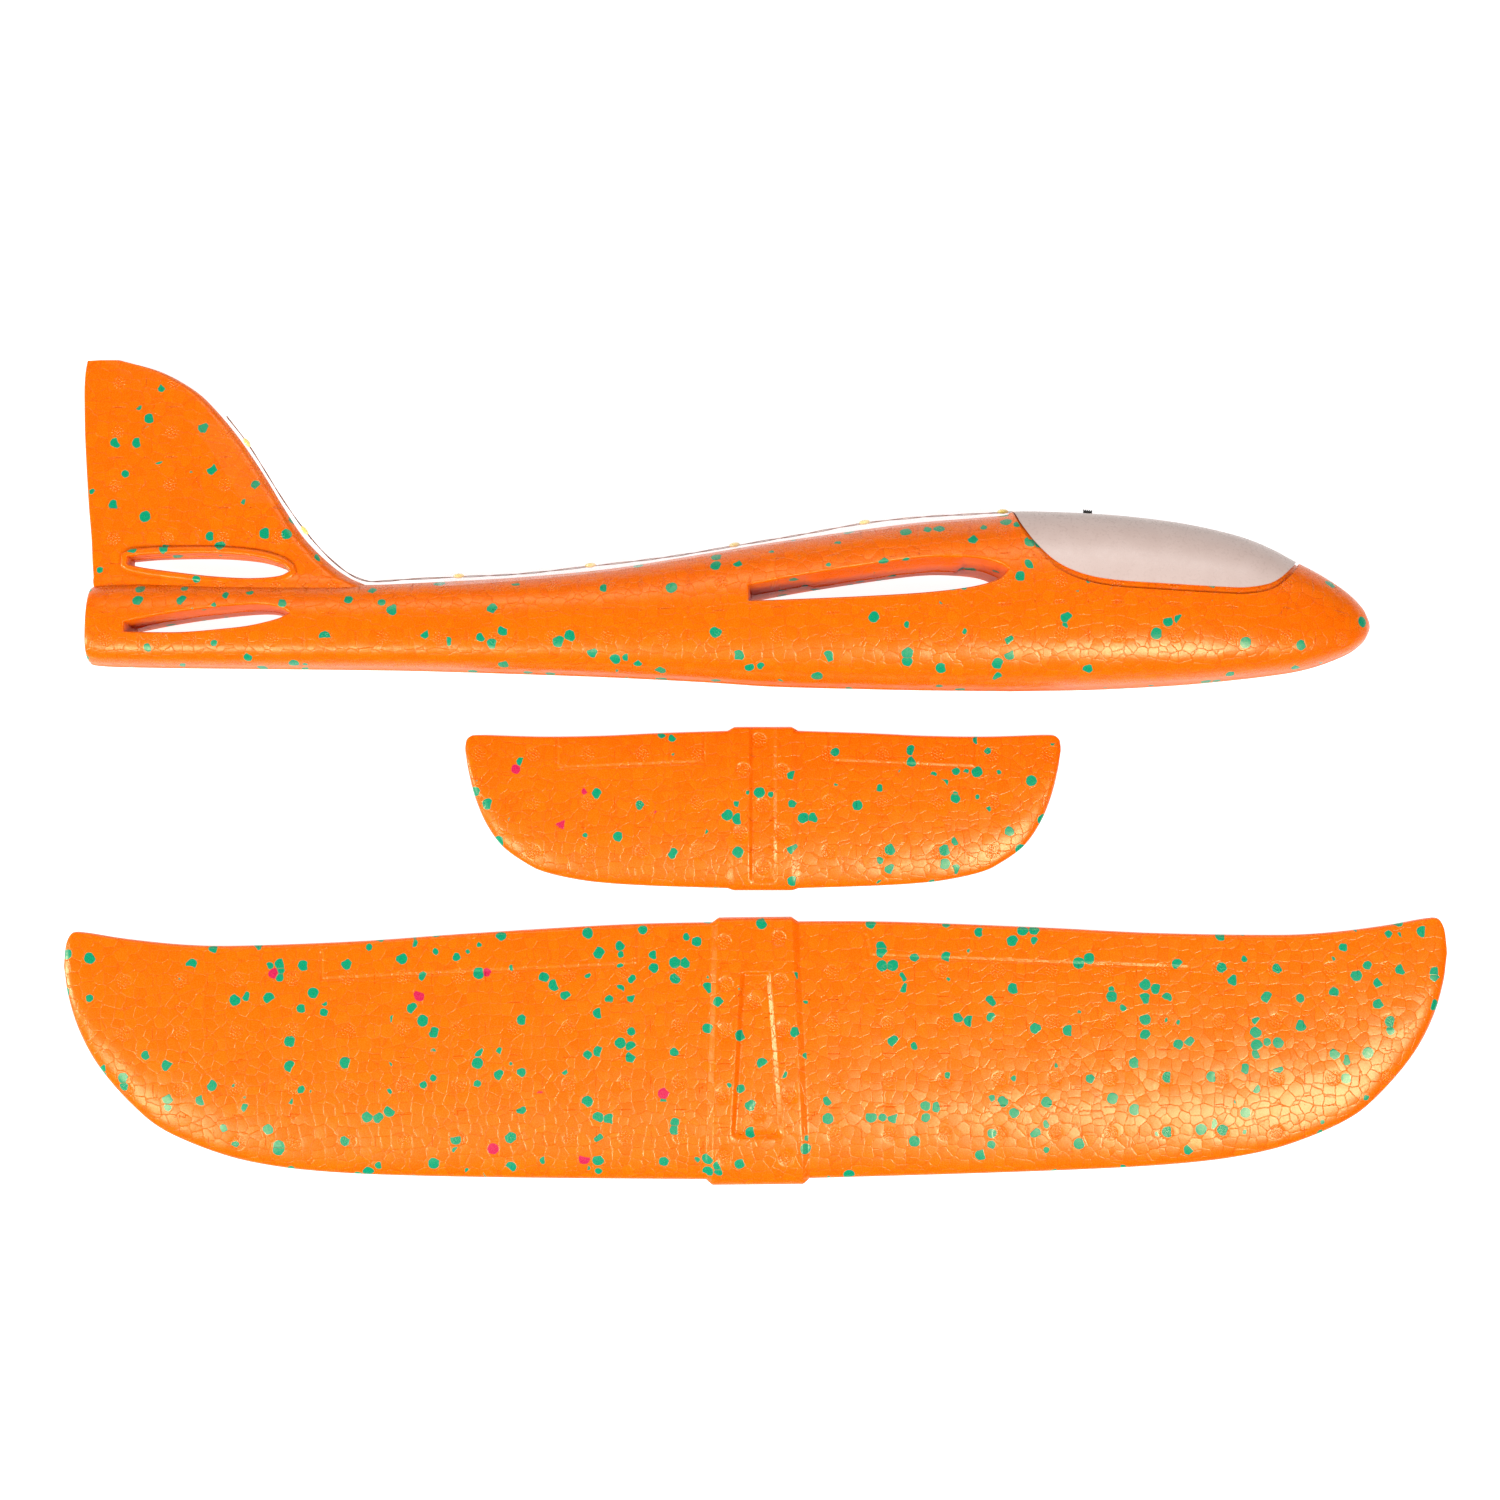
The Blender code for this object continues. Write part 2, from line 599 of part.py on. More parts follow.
def make_wire(look):
    """The pair of fine wires as one cord, from the box along the spine and up the fin."""
    curve = bpy.data.curves.new("light_wire", "CURVE")
    curve.dimensions = "3D"
    curve.bevel_depth = WIRE_RADIUS * MM
    curve.bevel_resolution = 2
    curve.use_fill_caps = True
    spline = curve.splines.new("POLY")
    spline.points.add(len(WIRE) - 1)
    for point, (x, y) in zip(spline.points, WIRE):
        point.co = (x * MM, y * MM, 0, 1)
    place("light_wire", curve, BODY_FRAME, look)


def make_lights(look):
    """Resin drops, one at each light, beside the wire."""
    for k, x in enumerate(LIGHT_X):
        index = int(np.argmin(np.abs(WIRE[:, 0] - x)))
        ahead = WIRE[min(index + 1, len(WIRE) - 1)] - WIRE[index - 1]
        bm = bmesh.new()
        bmesh.ops.create_uvsphere(bm, u_segments=10, v_segments=6, radius=0.5 * MM)
        bmesh.ops.scale(bm, vec=LIGHT_SIZE, verts=bm.verts)
        mesh = bpy.data.meshes.new("light")
        bm.to_mesh(mesh)
        bm.free()
        side = WIRE_RADIUS + GAP + LIGHT_SIZE[2] / 2
        light = place(f"light_{k + 1}", mesh, BODY_FRAME, look, (*WIRE[index], side), smooth=80)
        light.rotation_euler = (0, 0, math.atan2(ahead[1], ahead[0]))


def film_rings(stations, section):
    """Thin closed rings: the section's points and the same points lifted by the film's thickness."""
    rings = []
    for station in stations:
        inner = section(station)
        outer = section(station, 0.25)
        rings.append(inner + outer[::-1])
    return rings


def make_spine_tape(look):
    """Clear film that tents over the wire and its lights along the spine."""
    wire_height = lambda x: float(np.interp(x, WIRE[::-1, 0], WIRE[::-1, 1]))

    def section(x, lift=0.0):
        crest = wire_height(x) + WIRE_RADIUS + GAP + 0.35 + lift
        made = []
        for z in (-8.0, -5.6, -3.2, -1.2, 1.2, 3.2, 5.6, 8.0):
            lying = crown_height(x, z, GAP + 0.1 + lift)
            share = min(max((8.0 - abs(z)) / 4.8, 0), 1)
            made.append((x, max(lying, lying + (crest - lying) * share), z))
        return made

    mesh = loft("spine_tape", film_rings(np.linspace(-108, 84, 34), section))
    place("spine_tape", mesh, BODY_FRAME, look)


def make_fin_tape(look):
    """Clear film folded over the fin's leading edge and the top of the wire."""
    fin = through(FIN_STATIONS, 6)

    def section(height, lift=0.0):
        front = float(np.interp(height, fin[:, 0], fin[:, 2]))
        half = float(np.interp(height, fin[:, 0], fin[:, 3])) + GAP + 0.15 + lift
        wire = float(np.interp(height, WIRE[-14:, 1], WIRE[-14:, 0]))
        nose = max(front, wire) + WIRE_RADIUS + 1.0 + lift
        crest, back = 3.0 + lift, front - 13.0
        side = [(back, half), (front - 5.0, half), (front - 1.5, max(half, crest)), (nose, 0.9 * crest)]
        low = [(x, height, -z) for x, z in side]
        return low + [(x, height, z) for x, z in reversed(side)]

    mesh = loft("fin_tape", film_rings(np.linspace(44, 74, 12), section))
    place("fin_tape", mesh, BODY_FRAME, look)


# ---------------------------------------------------------------- wing and tailplane


def foil(rear, front, thick, edge, floor=0.0):
    """A section with a round leading edge and a nearly flat underside, as (y, z) points."""
    chord = rear - front
    crest, nose, heel = 0.3, 0.4, 0.07
    upper = []
    for c in (1.0, 0.985, 0.93, 0.84, 0.73, 0.61, 0.49, 0.38, 0.28, 0.19, 0.115, 0.06, 0.025, 0.006):
        if c < crest:
            height = nose + (1 - nose) * math.sqrt(1 - ((crest - c) / crest) ** 2)
        else:
            height = edge / thick + (1 - edge / thick) * (1 - ((c - crest) / (1 - crest)) ** 1.7)
        upper.append((c, height * thick - (0.55 * edge if c == 1.0 else 0.0)))
    lower = [(0.0, nose * thick)]
    for c in (0.01, 0.03, 0.07, 0.2, 0.4, 0.6, 0.8, 0.96, 1.0):
        height = nose * (1 - math.sqrt(1 - ((heel - c) / heel) ** 2)) if c < heel else 0.0
        lower.append((c, height * thick + (0.3 * edge if c == 1.0 else 0.0)))
    return [(front + c * chord, floor + z) for c, z in upper + lower]


def panel(name, trailing, leading, tip, thickness, edge, rise, floor, stations):
    """A lifting surface, symmetric about x = 0, that curves up towards its tips."""
    span = leading[-1][0]
    rear_line = np.array(list(through(trailing, 8)) + list(through(tip, 4))[1:])
    front_line = through(leading, 8)
    thick_at = table(thickness)
    rings = []
    for s in np.sin(np.linspace(-1, 1, stations) * math.pi / 2) * span:
        x = abs(s)
        rear = float(np.interp(x, rear_line[:, 0], rear_line[:, 1]))
        front = float(np.interp(x, front_line[:, 0], front_line[:, 1]))
        close = math.sqrt(max(1 - max(0.0, (x - span + 2.5) / 2.5) ** 2, 0.09))
        thick = thick_at(x) * close
        base = floor + rise * (x / span) ** 2 + thick_at(x) * (1 - close) * 0.45
        rings.append([(s, y, z) for y, z in foil(rear, front, thick, edge * close, base)])
    return loft(name, rings)


def centre_block(name, half_rear, half_front, rear, front, thick, edge):
    """The thicker middle of a panel, wider at its leading edge than at its trailing edge."""
    section = foil(rear, front, thick, edge)
    rings = []
    for side in (-1, -0.93, 0.93, 1):
        drop = 0.6 if abs(side) == 1 else 0.0
        ring = []
        for y, z in section:
            half = half_front + (half_rear - half_front) * (y - front) / (rear - front)
            ring.append((side * half, y, max(z - drop, 0.0) if z > thick * 0.3 else z))
        rings.append(ring)
    return loft(name, rings)


def trough(name, block_size, rows, depth, wall):
    """A cutter that sinks into a block's top by depth. Rows are (y, half width at the top)."""
    rear, front, thick, edge = block_size[2:]
    section = sorted(p for p in foil(rear, front, thick, edge) if p[1] > 0.4 * thick)
    heights = np.array(section)
    over = 1.0
    rings = []
    for y, half in rows:
        crest = float(np.interp(y, heights[:, 0], heights[:, 1]))
        wide, narrow = half + over * wall / depth, half - wall
        rings.append([
            (-wide, y, crest + over),
            (wide, y, crest + over),
            (narrow, y, crest - depth),
            (-narrow, y, crest - depth),
        ])
    return loft(name, rings)


def make_wing(look):
    planform = (WING_TRAILING, WING_LEADING, WING_TIP)
    mesh = panel("wing", *planform, WING_THICKNESS, WING_EDGE, WING_RISE, WING_FLOOR, 47)
    wing = place("wing", mesh, WING_FRAME, look)
    combine(wing, helper("wing_block", centre_block("wing_block", *WING_BLOCK), WING_FRAME), "UNION")
    ends = np.array([WELL_FRONT, WELL_REAR])
    rows = [ends[0] + (ends[1] - ends[0]) * t for t in np.linspace(0, 1, 9)]
    well = trough("wing_well", WING_BLOCK, rows, WELL_DEPTH, WELL_WALL)
    combine(wing, helper("wing_well", well, WING_FRAME), "DIFFERENCE")


def make_tailplane(look):
    planform = (TAIL_TRAILING, TAIL_LEADING, TAIL_TIP)
    mesh = panel("tailplane", *planform, TAIL_THICKNESS, TAIL_EDGE, TAIL_RISE, TAIL_FLOOR, 31)
    tailplane = place("tailplane", mesh, TAIL_FRAME, look)
    combine(tailplane, helper("tail_block", centre_block("tail_block", *TAIL_BLOCK), TAIL_FRAME), "UNION")
    rows = [(y, CHANNEL_HALF) for y in np.linspace(*CHANNEL_Y, 9)]
    channel = trough("tail_channel", TAIL_BLOCK, rows, CHANNEL_DEPTH, CHANNEL_WALL)
    combine(tailplane, helper("tail_channel", channel, TAIL_FRAME), "DIFFERENCE")


# ---------------------------------------------------------------- the kit

for old in list(bpy.data.objects):
    bpy.data.objects.remove(old, do_unlink=True)

BODY_FRAME = frame_at("body_frame", (BODY_X, BODY_Y, BODY_Z), (BODY_ROLL, -BODY_TILT, 0))
LIGHT_FRAME = frame_at("light_frame", (BOX_X, BOX_Y, 0), (0, 0, BOX_TILT), BODY_FRAME)
WING_FRAME = frame_at("wing_frame", (*WING_PLACE, 0), (0, 0, WING_TURN))
TAIL_FRAME = frame_at("tail_frame", (*TAIL_PLACE, 0))

foam = material("foam", (1.0, 0.24, 0.004), 0.55)
steel = material("steel", (0.62, 0.62, 0.60), 0.3, 1.0)
brass = material("brass", (0.75, 0.56, 0.25), 0.35, 1.0)
grey = material("grey plastic", (0.45, 0.47, 0.48), 0.5)
black = material("black plastic", (0.015, 0.015, 0.016), 0.4)

make_fuselage(foam)
make_canopy(material("milky shell", (0.85, 0.78, 0.74), 0.4, alpha=0.6))
make_box(grey)
make_lid(grey)
make_screw(steel)
make_cells(steel)
make_contacts(brass)
make_switch(material("board", (0.05, 0.25, 0.10), 0.5), steel, black)
make_box_pad(material("pad foam", (0.85, 0.85, 0.82), 0.9))
make_weight(steel)
make_wire(material("copper wire", (0.62, 0.30, 0.16), 0.35, 1.0))
make_lights(material("light drop", (0.95, 0.80, 0.25), 0.15))
film = material("clear film", (0.95, 0.95, 0.95), 0.1, alpha=0.2)
make_spine_tape(film)
make_fin_tape(film)
make_wing(foam)
make_tailplane(foam)
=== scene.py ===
"""Looks for the bead-foam hand glider kit, laid flat on a pale floor.

All sizes are in millimetres in the piece's own frame and are turned to metres where a mesh is made.
"""

import math

import bmesh
import bpy
import numpy as np
from mathutils import Matrix, Vector


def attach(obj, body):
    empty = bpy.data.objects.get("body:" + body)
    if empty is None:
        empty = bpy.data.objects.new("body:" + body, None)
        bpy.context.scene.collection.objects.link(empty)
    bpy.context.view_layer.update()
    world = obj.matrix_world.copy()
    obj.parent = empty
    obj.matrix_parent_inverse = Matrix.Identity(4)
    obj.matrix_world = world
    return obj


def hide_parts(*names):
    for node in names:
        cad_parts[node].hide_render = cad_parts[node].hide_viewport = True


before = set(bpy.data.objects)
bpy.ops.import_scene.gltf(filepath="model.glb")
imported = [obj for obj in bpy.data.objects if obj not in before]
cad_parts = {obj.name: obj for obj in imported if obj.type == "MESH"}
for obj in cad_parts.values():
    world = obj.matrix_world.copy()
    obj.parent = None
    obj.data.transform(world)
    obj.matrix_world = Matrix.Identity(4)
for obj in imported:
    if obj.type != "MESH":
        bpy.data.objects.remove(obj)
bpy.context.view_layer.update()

MM = 0.001
GAP = 0.3

# ---------------------------------------------------------------- sizes shared with the CAD part

BODY_X, BODY_Y, BODY_Z = -0.9, 49.5, 19.02
BODY_ROLL, BODY_TILT = -8.0, 0.73

BODY_STATIONS = [
    (-229.4, 11.5, -8.0, 6.8),
    (-228.9, 13.6, -10.2, 8.6),
    (-226.5, 15.4, -12.3, 10.0),
    (-205.0, 16.2, -13.0, 10.7),
    (-160.0, 15.7, -13.5, 11.1),
    (-134.0, 15.6, -13.8, 11.6),
    (-115.5, 16.3, -14.1, 12.1),
    (-82.0, 18.1, -15.1, 13.3),
    (-49.0, 21.2, -16.3, 14.7),
    (-16.0, 26.5, -18.0, 15.9),
    (6.5, 30.3, -19.5, 16.7),
    (39.0, 35.0, -20.4, 17.5),
    (58.0, 37.4, -20.8, 17.9),
    (85.5, 39.7, -21.1, 18.4),
    (92.0, 41.3, -21.1, 18.5),
    (115.0, 40.6, -20.7, 18.8),
    (133.0, 39.1, -19.9, 18.5),
    (150.5, 36.6, -18.8, 17.5),
    (167.0, 32.7, -17.2, 15.9),
    (178.0, 28.4, -15.9, 14.3),
    (187.5, 23.2, -14.4, 12.7),
    (196.0, 18.6, -12.0, 10.8),
    (204.6, 12.7, -8.4, 8.0),
    (209.6, 7.6, -4.6, 5.0),
    (211.7, 3.6, -1.4, 2.2),
    (212.3, 1.9, 0.3, 0.7),
]
WIDEST_AT = 0.46
CROWN_POWER, BELLY_POWER = 2.2, 2.7

FIN_STATIONS = [
    (6.0, -226.0, -112.0, 7.0),
    (15.6, -228.4, -134.0, 5.6),
    (18.5, -228.6, -140.3, 4.9),
    (23.4, -229.2, -147.1, 4.4),
    (32.3, -230.0, -156.0, 3.9),
    (43.4, -231.4, -163.6, 3.5),
    (55.2, -232.6, -170.9, 3.2),
    (68.5, -233.8, -180.1, 2.9),
    (79.7, -234.5, -189.6, 2.6),
    (86.0, -234.8, -196.8, 2.4),
    (92.1, -234.7, -207.9, 2.1),
    (96.1, -234.2, -221.5, 1.7),
]

WING_SLOT = (
    [(-1.3, 12.7), (15.0, 15.8), (31.3, 18.5), (50.7, 21.3), (63.6, 22.4), (76.9, 21.7), (84.0, 19.6)],
    [(-1.3, 7.0), (15.0, 7.5), (37.7, 8.4), (57.0, 9.5), (70.3, 10.9), (79.0, 12.6), (84.6, 14.8)],
    (87.0, 17.6),
)
LOWER_SLOT = (
    [(-215.3, 1.0), (-203.0, 3.5), (-190.0, 5.5), (-177.0, 6.9), (-168.0, 7.2), (-162.0, 6.0)],
    [(-215.3, -2.3), (-205.0, -2.6), (-194.0, -2.5), (-181.0, -1.4), (-172.0, -0.3), (-163.0, 1.9)],
    (-158.6, 4.0),
)
UPPER_SLOT = (
    [(-216.2, 25.0), (-207.0, 25.8), (-195.0, 26.1), (-182.7, 25.9), (-171.0, 24.7), (-163.0, 22.3)],
    [(-216.2, 22.2), (-210.0, 20.9), (-200.0, 19.5), (-187.0, 18.0), (-173.8, 17.3), (-164.0, 18.0)],
    (-159.8, 19.8),
)
SLOT_DRAFT = 0.05
RAMP_X = (18.5, 72.5)
RAMP_DEPTH = 1.1
BOSS_HALF = 5.6
BOSS_RIM = 2.6

CANOPY_EDGE = [
    (89.2, 44.0),
    (90.6, 38.5),
    (92.4, 33.8),
    (97.2, 26.3),
    (103.9, 19.8),
    (113.0, 15.6),
    (123.9, 13.6),
    (141.0, 12.5),
    (159.2, 11.7),
    (168.4, 11.8),
    (177.3, 14.0),
    (184.6, 20.0),
    (189.6, 26.5),
]
CANOPY_WALL = 0.7
SHOULDER_DROP = 2.4
UPSTAND = 1.6

BOX_X, BOX_Y, BOX_TILT = 133.0, 34.9, -6.5
BOX_LENGTH, BOX_HEIGHT = 41.0, 14.1
BOX_FOOT = 1.0
SCREW_X = 17.2
KNOB_X = -17.5
KNOB_TRAVEL = 2.0

WIRE_RADIUS = 0.35
WIRE_ROUTE = [
    (111.6, 28.0),
    (106.0, 30.6),
    (99.8, 35.4),
    (95.4, 39.2),
    (91.2, 41.2),
    (86.6, 41.3),
    (77.0, 40.8),
    (58.0, 39.7),
    (38.3, 37.5),
    (17.0, 33.6),
    (-6.2, 29.6),
    (-30.0, 25.6),
    (-56.5, 22.4),
    (-80.0, 19.8),
    (-101.7, 18.7),
    (-119.0, 17.9),
    (-127.0, 17.3),
    (-133.6, 17.2),
    (-139.8, 19.6),
    (-146.3, 24.6),
    (-152.6, 31.1),
    (-158.6, 38.6),
    (-164.8, 47.5),
    (-170.8, 57.0),
    (-177.2, 66.8),
    (-184.6, 76.2),
]
LIGHT_X = [104.0, 86.6, 38.3, -6.2, -56.5, -101.7, -155.5, -176.6]
LIGHT_SIZE = (3.8, 1.7, 1.9)

WING_PLACE, WING_TURN = (0.4, -97.8), 0.6
WING = {
    "round": 9.0,
    "trailing": [
        (0, 45.3), (45, 44.9), (100, 42.4), (139, 40.2), (178, 39.3), (198, 39.9), (217.5, 42.2),
        (232, 44.8),
    ],
    "leading": [
        (0, -45.2), (65, -43.9), (115, -42.3), (147, -40.4), (169, -37.6), (187, -33.0), (206, -24.5),
        (217.5, -14.8), (228, -2.0), (234.6, 10.5), (238.3, 22.8), (239.5, 32.0),
    ],
    "tip": [(232, 44.8), (236.6, 45.0), (238.8, 41.5), (239.5, 36.0)],
    "thickness": [(0, 8.8), (120, 7.6), (200, 6.2), (240, 4.6)],
    "edge": 2.4,
    "rise": 13.0,
    "floor": 0.8,
    "block": (13.9, 16.9, 46.9, -46.9, 10.4, 4.2),
}
WELL_REAR, WELL_FRONT = (28.0, 5.3), (-29.5, 9.4)  # y and half width of the sunken keystone's ends
BLOCK_WALL = 2.4
WELL_DEPTH, WELL_WALL = 1.1, 1.7
TAIL_PLACE = (2.7, -0.1)
CHANNEL_HALF, CHANNEL_DEPTH = 4.3, 0.8
CHANNEL_WALL = 1.3
TAIL = {
    "round": 5.0,
    "trailing": [(0, 15.2), (35, 14.1), (57, 13.1), (78, 12.8), (98, 13.4)],
    "leading": [
        (0, -41.0), (38, -39.8), (56, -38.7), (67, -37.2), (77, -34.8), (83, -32.0), (91.5, -25.9),
        (97.3, -17.8), (101.2, -8.6), (103.6, 1.0), (104.6, 7.5),
    ],
    "tip": [(98, 13.4), (102.3, 13.2), (104.2, 11.6), (104.6, 9.5)],
    "thickness": [(0, 5.6), (60, 5.0), (105, 3.6)],
    "edge": 2.2,
    "rise": 1.6,
    "floor": 0.5,
    "block": (11.2, 11.2, 16.2, -41.4, 6.5, 3.0),
}

# ---------------------------------------------------------------- curves


def through(points, per_span=6):
    """Points on a smooth Catmull-Rom curve that passes through the given ones."""
    p = [np.array(q, float) for q in points]
    p = [2 * p[0] - p[1]] + p + [2 * p[-1] - p[-2]]
    made = []
    for i in range(1, len(p) - 2):
        for k in range(per_span):
            t = k / per_span
            made.append(
                0.5 * (
                    2 * p[i]
                    + (p[i + 1] - p[i - 1]) * t
                    + (2 * p[i - 1] - 5 * p[i] + 4 * p[i + 1] - p[i + 2]) * t * t
                    + (3 * p[i] - p[i - 1] - 3 * p[i + 1] + p[i + 2]) * t ** 3
                )
            )
    made.append(p[-2])
    return np.array(made)


def even(points, count):
    """The polyline resampled to points an equal distance apart."""
    steps = np.linalg.norm(np.diff(points, axis=0), axis=1)
    run = np.concatenate([[0], np.cumsum(steps)])
    at = np.linspace(0, run[-1], count)
    return np.stack([np.interp(at, run, points[:, k]) for k in range(points.shape[1])], axis=1)


def ease(t):
    """0 below 0, 1 above 1, smooth between."""
    t = np.clip(t, 0.0, 1.0)
    return t * t * (3 - 2 * t)


# ---------------------------------------------------------------- meshes

def straight(t):
    return np.clip(t, 0.0, 1.0)


BODY_FRAME = (
    Matrix.Translation(Vector((BODY_X, BODY_Y, BODY_Z)) * MM)
    @ Matrix.Rotation(math.radians(-BODY_TILT), 4, "Y")
    @ Matrix.Rotation(math.radians(BODY_ROLL), 4, "X")
)
LIGHT_FRAME = (
    BODY_FRAME
    @ Matrix.Translation(Vector((BOX_X, BOX_Y, 0)) * MM)
    @ Matrix.Rotation(math.radians(BOX_TILT), 4, "Z")
)
WING_FRAME = Matrix.Translation(Vector((*WING_PLACE, 0)) * MM)
WING_FRAME = WING_FRAME @ Matrix.Rotation(math.radians(WING_TURN), 4, "Z")
TAIL_FRAME = Matrix.Translation(Vector((*TAIL_PLACE, 0)) * MM)
LIGHT_IN_BODY = BODY_FRAME.inverted() @ LIGHT_FRAME


def piece(name, points, faces):
    """A mesh object with its faces turned outwards, from points in millimetres."""
    mesh = bpy.data.meshes.new(name)
    corners = (np.asarray(points, float) * MM).tolist()
    mesh.from_pydata(corners, [], [tuple(int(i) for i in f) for f in faces])
    bm = bmesh.new()
    bm.from_mesh(mesh)
    bmesh.ops.recalc_face_normals(bm, faces=bm.faces)
    bm.to_mesh(mesh)
    bm.free()
    obj = bpy.data.objects.new(name, mesh)
    bpy.context.scene.collection.objects.link(obj)
    return obj


def skin_faces(rows, columns, closed=True):
    """Faces of a grid of points, rows of columns, each row closed into a ring or not."""
    r = np.arange(rows - 1)[:, None]
    c = np.arange(columns if closed else columns - 1)[None, :]
    d = (c + 1) % columns
    corners = [r * columns + c, r * columns + d, (r + 1) * columns + d, (r + 1) * columns + c]
    quads = np.stack([np.broadcast_to(k, (rows - 1, c.size)) for k in corners], axis=-1)
    return quads.reshape(-1, 4).tolist()


def loft(name, rings):
    """A closed skin over rings of equal length, with a flat cap at each end."""
    rings = np.array(rings, float)
    rows, columns = rings.shape[:2]
    last = (rows - 1) * columns
    faces = skin_faces(rows, columns)
    faces += [list(range(columns)), [last + k for k in range(columns)]]
    return piece(name, rings.reshape(-1, 3), faces)


def prism(name, outline, low, high):
    return loft(name, [[(x, y, z) for x, y in outline] for z in (low, high)])


def block(name, low, high):
    outline = [(low[0], low[1]), (high[0], low[1]), (high[0], high[1]), (low[0], high[1])]
    return prism(name, outline, low[2], high[2])


def rod(name, radius, low, high, axis, centre=(0, 0), sides=48):
    """A round rod along the x or y axis, from low to high."""
    turn = np.linspace(0, 2 * math.pi, sides, endpoint=False)
    u, v = centre[0] + radius * np.cos(turn), centre[1] + radius * np.sin(turn)
    rings = []
    for end in (low, high):
        flat = np.full(sides, float(end))
        rings.append(np.stack([flat, u, v] if axis == "x" else [u, flat, v], axis=1))
    return loft(name, rings)


def bake_modifiers(obj):
    """Replaces the object's mesh with what its modifiers make of it."""
    bpy.context.view_layer.update()
    graph = bpy.context.evaluated_depsgraph_get()
    mesh = bpy.data.meshes.new_from_object(
        obj.evaluated_get(graph), preserve_all_data_layers=False, depsgraph=graph
    )
    obj.modifiers.clear()
    obj.data = mesh
    return obj


def combine(target, other, operation):
    """A Boolean, applied at once. The other object is used up."""
    boolean = target.modifiers.new(operation, "BOOLEAN")
    boolean.operation = operation
    boolean.object = other
    boolean.solver = "EXACT"
    bake_modifiers(target)
    bpy.data.objects.remove(other, do_unlink=True)
    return target


def shift(obj, matrix):
    """Moves the object's mesh by a matrix and leaves the object at the origin."""
    obj.data.transform(matrix)
    return obj


def finish_piece(obj, matrix, body, look, nodes=(), smooth=35):
    """Puts a piece in its place and gives it its look, its body and the nodes that it stands for."""
    shift(obj, matrix)
    obj.data.materials.clear()
    obj.data.materials.append(look)
    if smooth:
        obj.data.shade_smooth()
        obj.data.set_sharp_from_angle(angle=math.radians(smooth))
    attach(obj, body)
    if nodes:
        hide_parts(*nodes)
    return obj


# ---------------------------------------------------------------- materials


def new_look(name, colour, roughness=0.5, metallic=0.0, **sockets):
    """A material and a function that adds nodes to it. Sockets are set on the shader itself."""
    look = bpy.data.materials.new(name)
    look.use_nodes = True
    tree = look.node_tree
    shader = tree.nodes["Principled BSDF"]
    shader.inputs["Base Color"].default_value = (*colour, 1)
    shader.inputs["Roughness"].default_value = roughness
    shader.inputs["Metallic"].default_value = metallic
    for socket, value in sockets.items():
        shader.inputs[socket.replace("_", " ")].default_value = value
    look.diffuse_color = (*colour, 1)

    def add(kind, inputs=None, **settings):
        made = tree.nodes.new("ShaderNode" + kind)
        for key, value in settings.items():
            setattr(made, key, value)
        for key, value in (inputs or {}).items():
            if isinstance(value, bpy.types.NodeSocket):
                tree.links.new(value, made.inputs[key])
            else:
                made.inputs[key].default_value = value
        return made

    def wire(socket, target):
        tree.links.new(socket, shader.inputs[target])

    return look, add, wire


def maths(add, operation, a, b=0.0, clamp=False):
    return add("Math", {0: a, 1: b}, operation=operation, use_clamp=clamp).outputs[0]


def mix_colours(add, share, first, second, kind="MIX"):
    """Colour mix through the colour sockets of a Mix node."""
    mix = add("Mix", data_type="RGBA", blend_type=kind)
    for index, value in ((0, share), (6, first), (7, second)):
        if isinstance(value, bpy.types.NodeSocket):
            mix.id_data.links.new(value, mix.inputs[index])
        else:
            mix.inputs[index].default_value = value if index == 0 else (*value, 1)
    return mix.outputs[2]


def span(add, value, low, high, to_low=0.0, to_high=1.0, smooth=True):
    """Value from low..high turned into to_low..to_high."""
    kind = "SMOOTHSTEP" if smooth else "LINEAR"
    made = add(
        "MapRange",
        {"Value": value, "From Min": low, "From Max": high, "To Min": to_low, "To Max": to_high},
        interpolation_type=kind,
    )
    return made.outputs["Result"]


ORANGE_A, ORANGE_B = (0.76, 0.132, 0.0), (0.73, 0.112, 0.0)
GREEN, MAGENTA = (0.0, 0.25, 0.125), (0.5, 0.012, 0.07)
BEADS_PER_METRE = 262.0
BEAD_LEAN = 0.055  # how much a bead's face leans, as a slope
VENT_RADIUS = 2.9  # round marks that the mould's steam vents leave


def dots(add, radius, angle, at_radius, count):
    """Mask of a circle of small round dots."""
    turn = maths(add, "MULTIPLY", angle, count / (2 * math.pi))
    off = maths(add, "SUBTRACT", maths(add, "FRACT", turn), 0.5)
    arc = maths(add, "MULTIPLY", off, 2 * math.pi * at_radius / count)
    away = maths(add, "SUBTRACT", radius, at_radius)
    squares = maths(add, "ADD", maths(add, "MULTIPLY", arc, arc), maths(add, "MULTIPLY", away, away))
    return span(add, maths(add, "SQRT", squares), 0.24, 0.46, 1.0, 0.0)


BLEED, BLEED_DEPTH = 0.3, 0.005  # share of light that enters the foam, and how far in metres
WARM_GLINT = (1.0, 0.80, 0.44, 1.0)
BEAD_DOME = -0.06


